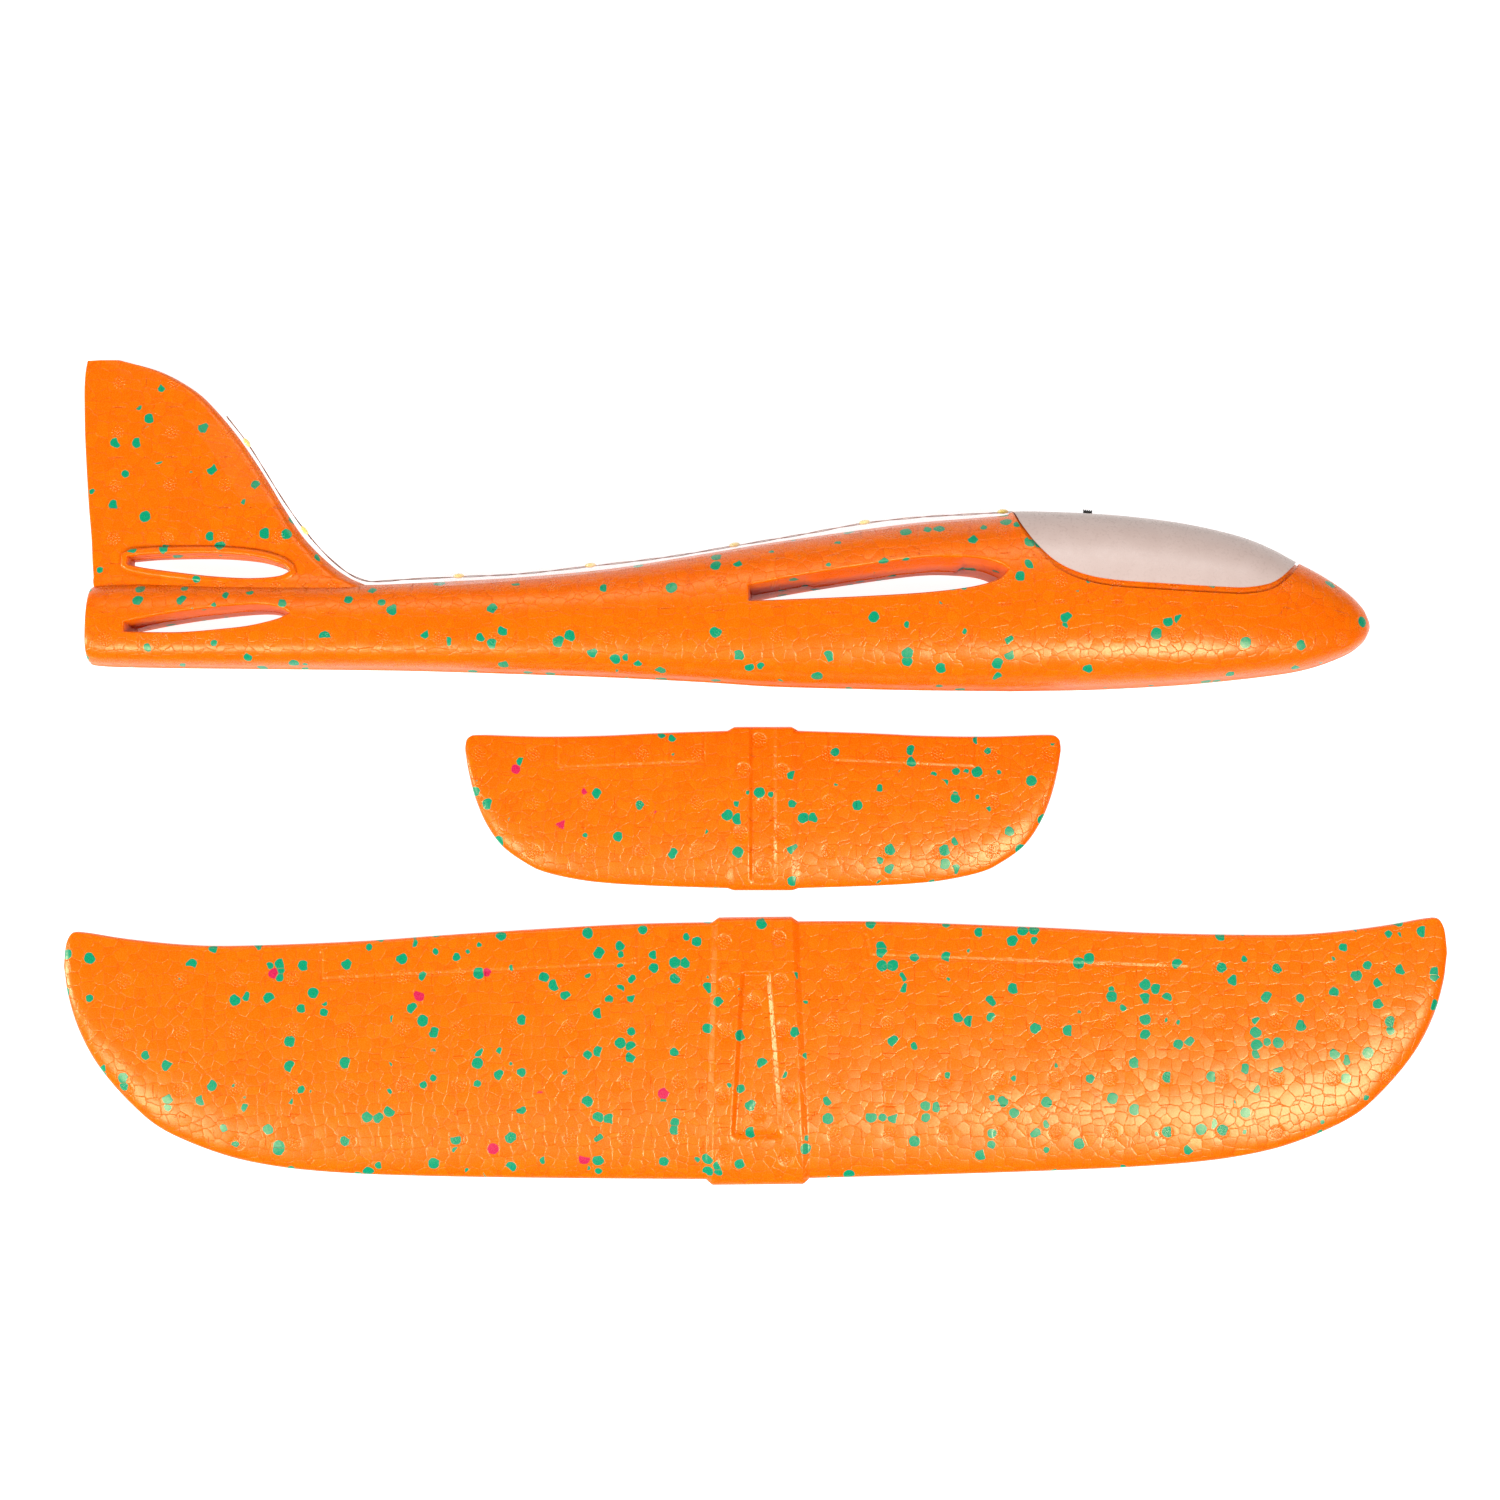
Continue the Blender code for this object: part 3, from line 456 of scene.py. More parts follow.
def foam_look(name, offset, green_from, pink_from):
    """Fused orange foam beads with some green and a few magenta ones among them."""
    look, add, wire = new_look(
        name, ORANGE_A, 0.3, Subsurface_Weight=BLEED, Subsurface_Scale=BLEED_DEPTH,
        Specular_IOR_Level=0.5, Specular_Tint=WARM_GLINT,
    )
    place = add("TexCoord").outputs["Object"]
    moved = add("VectorMath", {0: place, 1: offset}, operation="ADD").outputs[0]
    wobble = add("TexNoise", {"Vector": moved, "Scale": 420.0, "Detail": 1.0}).outputs["Color"]
    bent = add("VectorMath", {0: wobble, 1: (0.0006, 0.0006, 0.0006)}, operation="MULTIPLY").outputs[0]
    seat = add("VectorMath", {0: moved, 1: bent}, operation="ADD").outputs[0]
    cells = add("TexVoronoi", {"Vector": seat, "Scale": BEADS_PER_METRE, "Randomness": 0.72})
    walls = add(
        "TexVoronoi",
        {"Vector": seat, "Scale": BEADS_PER_METRE, "Randomness": 0.72},
        feature="DISTANCE_TO_EDGE",
    ).outputs["Distance"]
    chance = add("SeparateColor", {"Color": cells.outputs["Color"]})
    patch = add("TexNoise", {"Vector": moved, "Scale": 34.0, "Detail": 2.0}).outputs[0]
    drift = maths(add, "MULTIPLY", maths(add, "SUBTRACT", patch, 0.5), 0.12)
    score = maths(add, "ADD", chance.outputs[0], drift)
    green = maths(add, "GREATER_THAN", score, green_from)
    pink = maths(add, "GREATER_THAN", chance.outputs[1], pink_from)

    dents = add("TexNoise", {"Vector": moved, "Scale": 900.0, "Detail": 2.0}).outputs[0]
    orange = mix_colours(add, chance.outputs[2], ORANGE_A, ORANGE_B)
    tint = add("TexNoise", {"Vector": moved, "Scale": 90.0, "Detail": 4.0}).outputs[0]
    orange = mix_colours(add, span(add, tint, 0.35, 0.7, 0.0, 0.35), orange, ORANGE_A)
    round_off = maths(add, "MULTIPLY", dents, 0.1)
    inside = span(add, maths(add, "ADD", cells.outputs["Distance"], round_off), 0.57, 0.61, 1.0, 0.0)
    colour = mix_colours(add, maths(add, "MULTIPLY", green, inside), orange, GREEN)
    colour = mix_colours(add, maths(add, "MULTIPLY", pink, inside), colour, MAGENTA)
    # painted shade: the colour turns a deeper orange along the thin creases between beads, where shade
    # falls
    painted_crease_shade = span(add, walls, 0.005, 0.04, 0.34, 0.0)
    colour = mix_colours(add, painted_crease_shade, colour, (0.55, 0.07, 0.001))
    wire(colour, "Base Color")
    look.node_tree.nodes["Principled BSDF"].inputs["Subsurface Radius"].default_value = (1.0, 0.3, 0.05)

    grain = add("TexNoise", {"Vector": moved, "Scale": 2600.0, "Detail": 3.0}).outputs[0]
    upright = maths(add, "ABSOLUTE", add("SeparateXYZ", {0: place.node.outputs["Normal"]}).outputs[2])
    matt = span(add, upright, 0.1, 0.4, 0.25, 0.0)
    wire(maths(add, "ADD", span(add, grain, 0.3, 0.7, 0.22, 0.32, smooth=False), matt), "Roughness")

    # heights from here on are in millimetres
    middle = cells.outputs["Position"]
    from_middle = add("VectorMath", {0: seat, 1: middle}, operation="SUBTRACT").outputs[0]
    shade = cells.outputs["Color"]
    lean = add("VectorMath", {0: shade, 1: (0.5, 0.5, 0.5)}, operation="SUBTRACT").outputs[0]
    tilt = add("VectorMath", {0: from_middle, 1: lean}, operation="DOT_PRODUCT").outputs["Value"]
    square = maths(add, "MULTIPLY", cells.outputs["Distance"], cells.outputs["Distance"])
    dome = maths(add, "MULTIPLY", square, BEAD_DOME)
    gap = span(add, walls, 0.0, 0.05, -0.032, 0.0)
    height = maths(add, "ADD", maths(add, "MULTIPLY", tilt, 1000 * BEAD_LEAN), dome)
    height = maths(add, "ADD", height, gap)
    height = maths(add, "ADD", height, maths(add, "MULTIPLY", dents, 0.03))
    height = maths(add, "ADD", height, maths(add, "MULTIPLY", grain, 0.004))

    vent = add("Attribute", attribute_name="vent").outputs["Vector"]
    axes = add("SeparateXYZ", {0: vent})
    radius = add("VectorMath", {0: vent}, operation="LENGTH").outputs["Value"]
    angle = maths(add, "ARCTAN2", axes.outputs[1], axes.outputs[0])
    pips = maths(add, "ADD", dots(add, radius, angle, 1.95, 11), dots(add, radius, angle, 1.0, 6))
    pips = maths(add, "ADD", pips, span(add, radius, 0.2, 0.42, 1.0, 0.0))
    dish = span(add, radius, VENT_RADIUS - 0.5, VENT_RADIUS, -0.04, 0.0)
    height = maths(add, "ADD", height, maths(add, "ADD", maths(add, "MULTIPLY", pips, 0.1), dish))
    bump = add("Bump", {"Strength": 1.0, "Distance": 0.001, "Height": height})
    wire(bump.outputs["Normal"], "Normal")
    return look


def plain_look(name, colour, second, roughness, grain_scale, depth, metallic=0.0, **sockets):
    """A moulded or metal surface with a fine grain and a slow change of colour."""
    look, add, wire = new_look(name, colour, roughness, metallic, **sockets)
    place = add("TexCoord").outputs["Object"]
    slow = add("TexNoise", {"Vector": place, "Scale": 160.0, "Detail": 3.0}).outputs[0]
    wire(mix_colours(add, span(add, slow, 0.35, 0.65), colour, second), "Base Color")
    grain = add("TexNoise", {"Vector": place, "Scale": grain_scale, "Detail": 4.0}).outputs[0]
    wire(span(add, grain, 0.3, 0.7, roughness - 0.08, roughness + 0.1, smooth=False), "Roughness")
    bump = add("Bump", {"Strength": 0.35, "Distance": depth, "Height": grain})
    wire(bump.outputs["Normal"], "Normal")
    return look


WING_FOAM = foam_look("wing_foam", (0.0, 0.0, 0.0), 0.9, 0.9985)
TAIL_FOAM = foam_look("tail_foam", (0.31, 0.07, 0.013), 0.92, 0.996)
BODY_FOAM = foam_look("body_foam", (0.47, 0.19, -0.031), 0.935, 1.1)
SHELL = plain_look("milky_shell", (0.61, 0.47, 0.42), (0.59, 0.45, 0.40), 0.3, 900.0, 0.00001, Alpha=0.84)
FIN_FILM = plain_look("fin_film", (0.95, 0.50, 0.25), (0.92, 0.46, 0.20), 0.16, 500.0, 0.00001, Alpha=0.012)
BLACK = plain_look("black_plastic", (0.012, 0.012, 0.013), (0.02, 0.02, 0.021), 0.42, 1500.0, 0.00004)
GREY = plain_look("grey_plastic", (0.42, 0.44, 0.45), (0.36, 0.38, 0.39), 0.48, 1800.0, 0.00004)
STEEL = plain_look("steel", (0.62, 0.62, 0.60), (0.52, 0.52, 0.51), 0.32, 2400.0, 0.00002, 1.0)
BRASS = plain_look("brass", (0.76, 0.57, 0.26), (0.62, 0.45, 0.20), 0.34, 2400.0, 0.00002, 1.0)
BOARD = plain_look("board", (0.04, 0.22, 0.09), (0.03, 0.17, 0.07), 0.45, 1200.0, 0.00002)
PAD = plain_look("pad_foam", (0.83, 0.83, 0.80), (0.72, 0.72, 0.69), 0.9, 1600.0, 0.0002)
COPPER = plain_look("copper_wire", (0.40, 0.22, 0.15), (0.30, 0.15, 0.10), 0.36, 1500.0, 0.00002, 1.0)
DROP = plain_look("light_drop", (0.98, 0.86, 0.40), (0.95, 0.74, 0.20), 0.14, 900.0, 0.00002, Alpha=0.55)
CHIP = plain_look("light_chip", (0.93, 0.78, 0.12), (0.85, 0.62, 0.06), 0.4, 1500.0, 0.00002)
# clear tape over the spine; its faint pale pinkish tint is a painted sheen of light on the tape
FILM = plain_look("clear_film", (0.96, 0.93, 0.92), (0.92, 0.88, 0.87), 0.16, 500.0, 0.00003, Alpha=0.07)

# ---------------------------------------------------------------- fuselage

BODY = through(BODY_STATIONS, 8)
FIN = through(FIN_STATIONS, 6)
KEEL_RIDGE, KEEL_WIDTH = 0.28, 0.42  # the flash line that the mould's halves leave


def body_section(x):
    return [float(np.interp(x, BODY[:, 0], BODY[:, k])) for k in (1, 2, 3)]


def ring_angles(sides):
    """Angles round a section, closer together at the crown line and the keel line."""
    near = np.array([0.0, 0.012, 0.024, 0.038, 0.056, 0.085])
    parts = []
    for middle in (math.pi / 2, 3 * math.pi / 2):
        parts.append(np.concatenate([middle - near[:0:-1], middle + near]))
    edge = near[-1]
    per = (sides - len(parts[0]) * 2) // 2
    right = np.linspace(-math.pi / 2 + edge, math.pi / 2 - edge, per + 2)[1:-1]
    left = np.linspace(math.pi / 2 + edge, 3 * math.pi / 2 - edge, per + 2)[1:-1]
    return np.concatenate([right, parts[0], left, parts[1]])


ANGLES = ring_angles(112)


def body_ring(row, inset=0.0, ridge=0.0, angles=ANGLES):
    """One closed section of the body, a rounder crown over a flatter belly."""
    x, top, bottom, half = row
    middle = bottom + WIDEST_AT * (top - bottom)
    up, down, half = (max(size - inset, 0.05) for size in (top - middle, middle - bottom, half))
    c, s = np.cos(angles), np.sin(angles)
    power = np.where(s > 0, 2 / CROWN_POWER, 2 / BELLY_POWER)
    rise = np.where(s > 0, up, down)
    y = middle + np.sign(s) * rise * np.abs(s) ** power
    z = np.sign(c) * half * np.abs(c) ** power
    y = y + np.sign(s) * ridge * np.exp(-((z / KEEL_WIDTH) ** 2)) * (np.abs(s) > 0.8)
    return np.stack([np.full(len(angles), x), y, z], axis=1)


def body_solid(name, inset=0.0, first=-1000.0, ridge=0.0):
    rows = [row for row in BODY if row[0] > first and (inset == 0 or row[3] > inset + 1)]
    return loft(name, [body_ring(row, inset, ridge) for row in rows])


def side_reach(x, y):
    """How far the body's flank stands out at x and y, in the body's frame."""
    top, bottom, half = body_section(x)
    middle = bottom + WIDEST_AT * (top - bottom)
    up, down = top - middle, middle - bottom
    if y >= middle:
        return half * max(1 - min((y - middle) / up, 1) ** CROWN_POWER, 0) ** (1 / CROWN_POWER)
    return half * max(1 - min((middle - y) / down, 1) ** BELLY_POWER, 0) ** (1 / BELLY_POWER)


def crown_height(x, z, lift=0.0):
    top, bottom, half = body_section(x)
    middle = bottom + WIDEST_AT * (top - bottom)
    share = min(abs(z) / half, 0.999)
    return middle + (top - middle) * (1 - share ** CROWN_POWER) ** (1 / CROWN_POWER) + lift


def fin_solid():
    rings = []
    for height, rear, front, half in FIN:
        nose = min(1.4 * half, 0.35 * (front - rear))
        edge = 0.62 * half
        corner = np.radians(np.linspace(0, 90, 6))
        tail = [(rear + 0.8 * (1 - math.cos(a)), edge - 0.8 + 0.8 * math.sin(a)) for a in corner]
        flank = []
        start, stop = rear + 0.8, front - nose
        for t in np.linspace(0, 1, 26)[1:-1]:
            flank.append((start + t * (stop - start), edge + (half - edge) * ease(min(t / 0.5, 1.0))))
        lead = [
            (front - nose + nose * math.sin(a), half * math.cos(a))
            for a in np.radians(np.linspace(0, 84, 14))
        ]
        side = tail + flank + lead
        ring = [(x, height, z) for x, z in side] + [(front, height, 0)]
        ring += [(x, height, -z) for x, z in reversed(side)]
        rings.append(ring)
    return loft("fin", rings)


def slot_rim(slot, per_span=8):
    """The slot's closed outline and its outward directions."""
    upper, lower, nose = slot
    over = list(through(upper + [nose], per_span))
    under = list(through(lower + [nose], per_span))[-2::-1]
    rim = np.array(over + under)
    along = np.roll(rim, -1, axis=0) - np.roll(rim, 1, axis=0)
    out = np.stack([-along[:, 1], along[:, 0]], axis=1)
    out /= np.linalg.norm(out, axis=1)[:, None]
    upper_count = per_span * len(upper)
    return rim, out, upper_count


RIM_ROUND = 0.8
FLASH = 0.16
RAMP_BLEND = 1.6
BOSS_ROUND = 1.2


def slot_cutter(name, slot, mouth, reach, ramp=False):
    """A cutter whose rim flares at the surface, with the mould's flash line half way through."""
    rim, out, upper_count = slot_rim(slot)
    surface = np.array([reach(*(p + o * RIM_ROUND)) for p, o in zip(rim, out)])
    roof = (np.arange(len(rim)) < upper_count).astype(float)
    lowered = np.zeros(len(rim))
    if ramp:
        lowered = roof * ease((rim[:, 0] - RAMP_X[0]) / RAMP_BLEND)
        lowered = lowered * ease((RAMP_X[1] - rim[:, 0]) / RAMP_BLEND)
    wave = 0.35 * np.sin(rim[:, 0] * 0.42) + 0.2 * np.sin(rim[:, 0] * 1.13)
    levels = [("deep", v) for v in (0.35, 3.0)] + [("ramp", v) for v in (0.0, 0.25, 0.5, 0.75, 1.0)]
    levels += [("flare", v) for v in (0.25, 0.5, 0.7, 0.85, 0.95, 1.0)] + [("clear", 8.0)]
    half = []
    for kind, v in levels:
        if kind == "deep":
            z = np.full(len(rim), v) + wave * (v < 1)
            grow = SLOT_DRAFT * (z - mouth)
            drop = np.full(len(rim), RAMP_DEPTH)
        elif kind == "ramp":
            start = np.full(len(rim), 0.45 * mouth)
            start = np.minimum(start, surface - RIM_ROUND - 0.5)
            z = start + (surface - RIM_ROUND - start) * v
            grow = SLOT_DRAFT * (z - mouth)
            drop = np.full(len(rim), RAMP_DEPTH * (1 - v))
        elif kind == "flare":
            z = surface - RIM_ROUND * (1 - v)
            grow = SLOT_DRAFT * (z - mouth) + RIM_ROUND * (1 - math.sqrt(1 - v * v))
            drop = np.zeros(len(rim))
        else:
            z = surface + v
            grow = SLOT_DRAFT * (surface - mouth) + RIM_ROUND
            drop = np.zeros(len(rim))
        at = rim + out * np.asarray(grow)[:, None]
        at[:, 1] -= drop * lowered
        half.append((at, z))
    middle = rim + out * (-SLOT_DRAFT * mouth - FLASH)
    middle[:, 1] -= RAMP_DEPTH * lowered
    rings = [np.column_stack([at, -z + (2 * wave if k == 0 else 0)]) for k, (at, z) in enumerate(half)]
    rings.reverse()
    rings.append(np.column_stack([middle, wave]))
    rings += [np.column_stack([at, z]) for at, z in half]
    return loft(name, rings)


def fin_boss():
    """The raised rim around the upper tailplane slot, with a rounded edge on both sides."""
    rim, out, _ = slot_rim(UPPER_SLOT)
    rings = []
    for a in np.radians(np.linspace(0, 90, 6)):
        grow = BOSS_RIM - BOSS_ROUND * (1 - math.cos(a))
        height = BOSS_HALF - BOSS_ROUND + BOSS_ROUND * math.sin(a)
        rings.append(np.column_stack([rim + out * grow, np.full(len(rim), height)]))
    rings = [ring * (1, 1, -1) for ring in rings[::-1]] + rings
    return loft("boss", rings)


def above_edge(offset, top=60.0):
    edge = [tuple(p) for p in through(CANOPY_EDGE, 6)]
    moved = [(x, y + offset) for x, y in edge]
    return [(moved[0][0], top)] + moved + [(moved[-1][0] + 2.0, top)]


def make_fuselage():
    body = body_solid("fuselage_foam", ridge=KEEL_RIDGE)
    combine(body, fin_solid(), "UNION")
    combine(body, fin_boss(), "UNION")

    plug = body_solid("plug", CANOPY_WALL + GAP + 0.1, 80.0)
    combine(plug, prism("plug_top", above_edge(UPSTAND), -30, 30), "DIFFERENCE")
    half = BOX_LENGTH / 2 + 1.5
    foot = -BOX_HEIGHT - BOX_FOOT - GAP
    shelf = block("shelf", (-half, foot - 22, -9.5), (half, foot, 9.5))
    combine(plug, shift(shelf, LIGHT_IN_BODY), "UNION")
    cockpit = prism("cockpit", above_edge(-SHOULDER_DROP), -30, 30)
    combine(cockpit, plug, "DIFFERENCE")
    combine(body, cockpit, "DIFFERENCE")
    combine(body, rod("pocket", 5.3, 162.0, 186.3, "x", (1.0, 0)), "DIFFERENCE")
    combine(body, block("pocket_mouth", (158.0, -4.3, -5.3), (172.0, 20.0, 5.3)), "DIFFERENCE")

    combine(body, slot_cutter("wing_slot", WING_SLOT, 17.3, side_reach, ramp=True), "DIFFERENCE")
    combine(body, slot_cutter("lower_slot", LOWER_SLOT, 10.8, side_reach), "DIFFERENCE")
    boss_reach = lambda x, y: max(BOSS_HALF, side_reach(x, y))
    combine(body, slot_cutter("upper_slot", UPPER_SLOT, BOSS_HALF, boss_reach), "DIFFERENCE")
    mark_vents(body, BODY_VENTS)
    return finish_piece(body, BODY_FRAME, "airframe", BODY_FOAM, ["fuselage"], smooth=42)


def make_canopy():
    shell = body_solid("canopy_skin", 0.0, 80.0)
    combine(shell, prism("region", above_edge(0.0), -30, 30), "INTERSECT")
    combine(shell, body_solid("inside", CANOPY_WALL, 75.0), "DIFFERENCE")
    slot = block("cutout", (KNOB_X - 1.9, 1.0, -1.4), (KNOB_X + 1.9 + KNOB_TRAVEL, 12.0, 1.4))
    combine(shell, shift(slot, LIGHT_IN_BODY), "DIFFERENCE")
    access = rod("access", 1.7, 1.0, 12.0, "y", (SCREW_X, 0), 32)
    combine(shell, shift(access, LIGHT_IN_BODY), "DIFFERENCE")
    combine(shell, block("notch", (86.0, 38.5, -1.3), (96.0, 46.0, 1.3)), "DIFFERENCE")
    return finish_piece(shell, BODY_FRAME, "canopy_shell", SHELL, ["canopy"], smooth=35)


# ---------------------------------------------------------------- wing and tailplane

CREST, NOSE, HEEL = 0.3, 0.4, 0.07


def upper_height(c, thick, edge):
    """Height of the upper surface at chord share c, for arrays."""
    ahead = NOSE + (1 - NOSE) * np.sqrt(np.clip(1 - (np.clip(CREST - c, 0, 1) / CREST) ** 2, 0, 1))
    fall = np.clip((c - CREST) / (1 - CREST), 0, 1) ** 1.7
    behind = edge / thick + (1 - edge / thick) * (1 - fall)
    height = np.where(c < CREST, ahead, behind) * thick
    t = np.clip((c - 0.984) / 0.016, 0, 1)
    return height - 0.55 * edge * (1 - np.sqrt(1 - t * t))


def lower_height(c, thick, edge):
    curl = NOSE * (1 - np.sqrt(np.clip(1 - ((HEEL - c) / HEEL) ** 2, 0, 1)))
    height = np.where(c < HEEL, curl, 0.0) * thick
    t = np.clip((c - 0.984) / 0.016, 0, 1)
    return height + 0.3 * edge * (1 - np.sqrt(1 - t * t))


def distance_to_line(x, y, points):
    """Distance from each place to a polyline."""
    best = np.full(np.shape(x), 1e9)
    for (ax, ay), (bx, by) in zip(points[:-1], points[1:]):
        dx, dy = bx - ax, by - ay
        t = np.clip(((x - ax) * dx + (y - ay) * dy) / (dx * dx + dy * dy), 0, 1)
        best = np.minimum(best, np.hypot(x - ax - t * dx, y - ay - t * dy))
    return best


def stops(ranges):
    """Places from a list of (from, to, step) stretches."""
    made = []
    for low, high, step in ranges:
        made.append(np.linspace(low, high, max(int(round((high - low) / step)), 1), endpoint=False))
    made.append([ranges[-1][1]])
    return np.concatenate(made)


LOWER_CHORDS = np.array([
    0.0, 0.004, 0.012, 0.025, 0.04, 0.055, 0.07, 0.12, 0.2, 0.3, 0.4, 0.5,
    0.6, 0.7, 0.8, 0.88, 0.94, 0.984, 0.99, 0.996, 1.0,
])
BLOCK_UNDER_WALL = 0.6
THINNEST_TIP = 0.09  # square of the share of its thickness that the very tip keeps


def panel(name, spec, spans, chords, relief):
    """A lifting surface with its centre block, as one closed skin of sections along the span."""
    rear_line = np.array(list(through(spec["trailing"], 12)) + list(through(spec["tip"], 8))[1:])
    front_line = through(spec["leading"], 12)
    thick_line = through(spec["thickness"], 12)
    span_half = spec["leading"][-1][0]
    half_rear, half_front, block_rear, block_front, block_thick, block_edge = spec["block"]
    edge = spec["edge"]
    rings = []
    for s in spans:
        x = min(abs(s), span_half)
        rear = np.interp(x, rear_line[:, 0], rear_line[:, 1])
        front = np.interp(x, front_line[:, 0], front_line[:, 1])
        full = np.interp(x, thick_line[:, 0], thick_line[:, 1])
        past = max(0.0, (x - span_half + spec["round"]) / spec["round"])
        close = math.sqrt(max(1 - past ** 2, THINNEST_TIP))
        base = spec["floor"] + spec["rise"] * (x / span_half) ** 2 + full * (1 - close) * 0.45
        in_rear = straight((half_rear - x) / BLOCK_WALL + 0.5)
        in_front = straight((half_front - x) / BLOCK_WALL + 0.5)
        tail_y = rear + (block_rear - rear) * in_rear
        head_y = front + (block_front - front) * in_front

        def upper(c):
            y = head_y + c * (tail_y - head_y)
            own = np.clip((y - front) / (rear - front), 0, 1)
            panel_z = base + upper_height(own, full * close, edge * close)
            block_c = np.clip((y - block_front) / (block_rear - block_front), 0, 1)
            block_z = upper_height(block_c, block_thick, block_edge)
            half = half_front + (half_rear - half_front) * (y - block_front) / (block_rear - block_front)
            inside = straight((half - x) / BLOCK_WALL + 0.6)
            z = panel_z + np.maximum(block_z - panel_z, 0) * inside
            return y, z + relief(s, y)

        def lower(c):
            y = head_y + c * (tail_y - head_y)
            own = np.clip((y - front) / (rear - front), 0, 1)
            panel_z = base + lower_height(own, full * close, edge * close)
            block_c = np.clip((y - block_front) / (block_rear - block_front), 0, 1)
            block_z = lower_height(block_c, block_thick, block_edge)
            half = half_front + (half_rear - half_front) * (y - block_front) / (block_rear - block_front)
            inside = ease((half - x) / BLOCK_UNDER_WALL + 0.5)
            return y, panel_z + np.minimum(block_z - panel_z, 0) * inside

        y_up, z_up = upper(chords[::-1])
        y_low, z_low = lower(LOWER_CHORDS)
        z_low[0] = z_up[-1] - 0.02
        y = np.concatenate([y_up, y_low[1:]])
        z = np.concatenate([z_up, z_low[1:]])
        rings.append(np.stack([np.full(len(y), float(s)), y, z], axis=1))
    return loft(name, rings)


AILERONS = [
    [(-151.7, 36.4), (-151.6, 27.2), (-41.5, 31.0), (-40.9, 44.0)],
    [(39.0, 40.2), (40.0, 33.1), (106.6, 30.0), (150.8, 28.1)],
]
ELEVATORS = [
    [(-72.3, 11.8), (-72.3, 1.6), (-20.7, 3.7), (-20.7, 15.3)],
    [(23.6, 14.6), (23.6, 4.1), (74.5, 1.9), (74.9, 12.8)],
]
GROOVE_DEPTH, GROOVE_WIDTH = 0.34, 0.5
VENT_PITCH = 19.2
WING_VENTS = [
    (-11.0, 38.5), (8.2, 39.6), (-10.4, 23.9), (8.8, 24.6), (-0.9, 17.3), (-11.0, 7.7), (9.6, 8.3),
    (-12.0, -14.5), (11.4, -14.9), (0.3, -20.8), (-11.7, -36.4), (10.0, -36.9),
]
TAIL_VENTS = [
    (-1.4, 11.5), (-6.9, 1.0), (6.6, 0.6), (-0.2, -11.5), (-7.9, -21.3), (6.8, -20.9), (0.2, -33.1),
]
WING_VENTS += [
    (side * (27.0 + VENT_PITCH * i), y)
    for side in (-1, 1) for i in range(11) for y in (-29.0, -10.0, 9.5, 27.5)
]
TAIL_VENTS += [
    (side * (23.0 + VENT_PITCH * i), y)
    for side in (-1, 1) for i in range(5) for y in (-27.5, -10.5, 6.5)
]
BODY_VENTS = [(-222.0 + VENT_PITCH * i, y) for i in range(24) for y in (-5.0, 13.5, 32.0, 51.0, 70.0, 88.0)]


def mark_vents(obj, vents):
    """Gives each vertex its place relative to the nearest vent mark, in millimetres."""
    mesh = obj.data
    co = np.zeros(len(mesh.vertices) * 3)
    mesh.vertices.foreach_get("co", co)
    co = co.reshape(-1, 3) / MM
    away = co[:, None, :2] - np.array(vents)[None]
    nearest = np.argmin((away ** 2).sum(-1), axis=1)
    local = np.zeros((len(co), 3))
    local[:, :2] = away[np.arange(len(co)), nearest]
    vent = mesh.attributes.new("vent", "FLOAT_VECTOR", "POINT")
    vent.data.foreach_set("vector", local.astype(np.float32).ravel())
    return obj


def grooves(x, y, lines):
    cut = np.zeros(np.shape(y))
    for line in lines:
        cut = np.maximum(cut, np.exp(-((distance_to_line(x, y, line) / GROOVE_WIDTH) ** 2)))
    return -GROOVE_DEPTH * cut


def dishes(x, y, vents, depth):
    """Shallow round dishes at the vent marks."""
    low = np.zeros(np.shape(y))
    for vx, vy in vents:
        if abs(x - vx) < VENT_RADIUS:
            low = np.maximum(low, ease((VENT_RADIUS - np.hypot(x - vx, y - vy)) / 0.7))
    return -depth * low


def wing_relief(x, y):
    """Hinge-line grooves, vent marks and the sunken keystone in the centre block."""
    z = grooves(x, y, AILERONS) + dishes(x, y, WING_VENTS, 0.3 if abs(x) < 16 else 0.08)
    share = np.clip((WELL_REAR[0] - y) / (WELL_REAR[0] - WELL_FRONT[0]), 0, 1)
    half = WELL_REAR[1] + (WELL_FRONT[1] - WELL_REAR[1]) * share
    inside = straight((half - abs(x)) / WELL_WALL)
    inside = inside * ease(y - WELL_FRONT[0]) * ease(WELL_REAR[0] - y)
    return z - WELL_DEPTH * inside


def tail_relief(x, y):
    z = grooves(x, y, ELEVATORS) + dishes(x, y, TAIL_VENTS, 0.28 if abs(x) < 10 else 0.07)
    ends = ease((y + 39.5) / 3.0)
    return z - CHANNEL_DEPTH * ends * straight((CHANNEL_HALF - abs(x)) / CHANNEL_WALL + 0.5)


def make_wing():
    spans = stops([
        (-239.5, -236.0, 0.35), (-236.0, -154.0, 1.1), (-154.0, -149.0, 0.4), (-149.0, -43.5, 1.1),
        (-43.5, -38.5, 0.4), (-38.5, -18.5, 1.0), (-18.5, 18.5, 0.34), (18.5, 37.0, 1.0),
        (37.0, 42.0, 0.4), (42.0, 149.0, 1.1), (149.0, 153.0, 0.4), (153.0, 236.0, 1.1),
        (236.0, 239.5, 0.35),
    ])
    chords = stops([
        (0.0, 0.03, 0.003), (0.03, 0.12, 0.009), (0.12, 0.72, 0.014), (0.72, 0.984, 0.0052),
        (0.984, 1.0, 0.0027),
    ])
    wing = panel("wing_foam", WING, spans, chords, wing_relief)
    mark_vents(wing, WING_VENTS)
    return finish_piece(wing, WING_FRAME, "wing_panel", WING_FOAM, ["wing"], smooth=60)


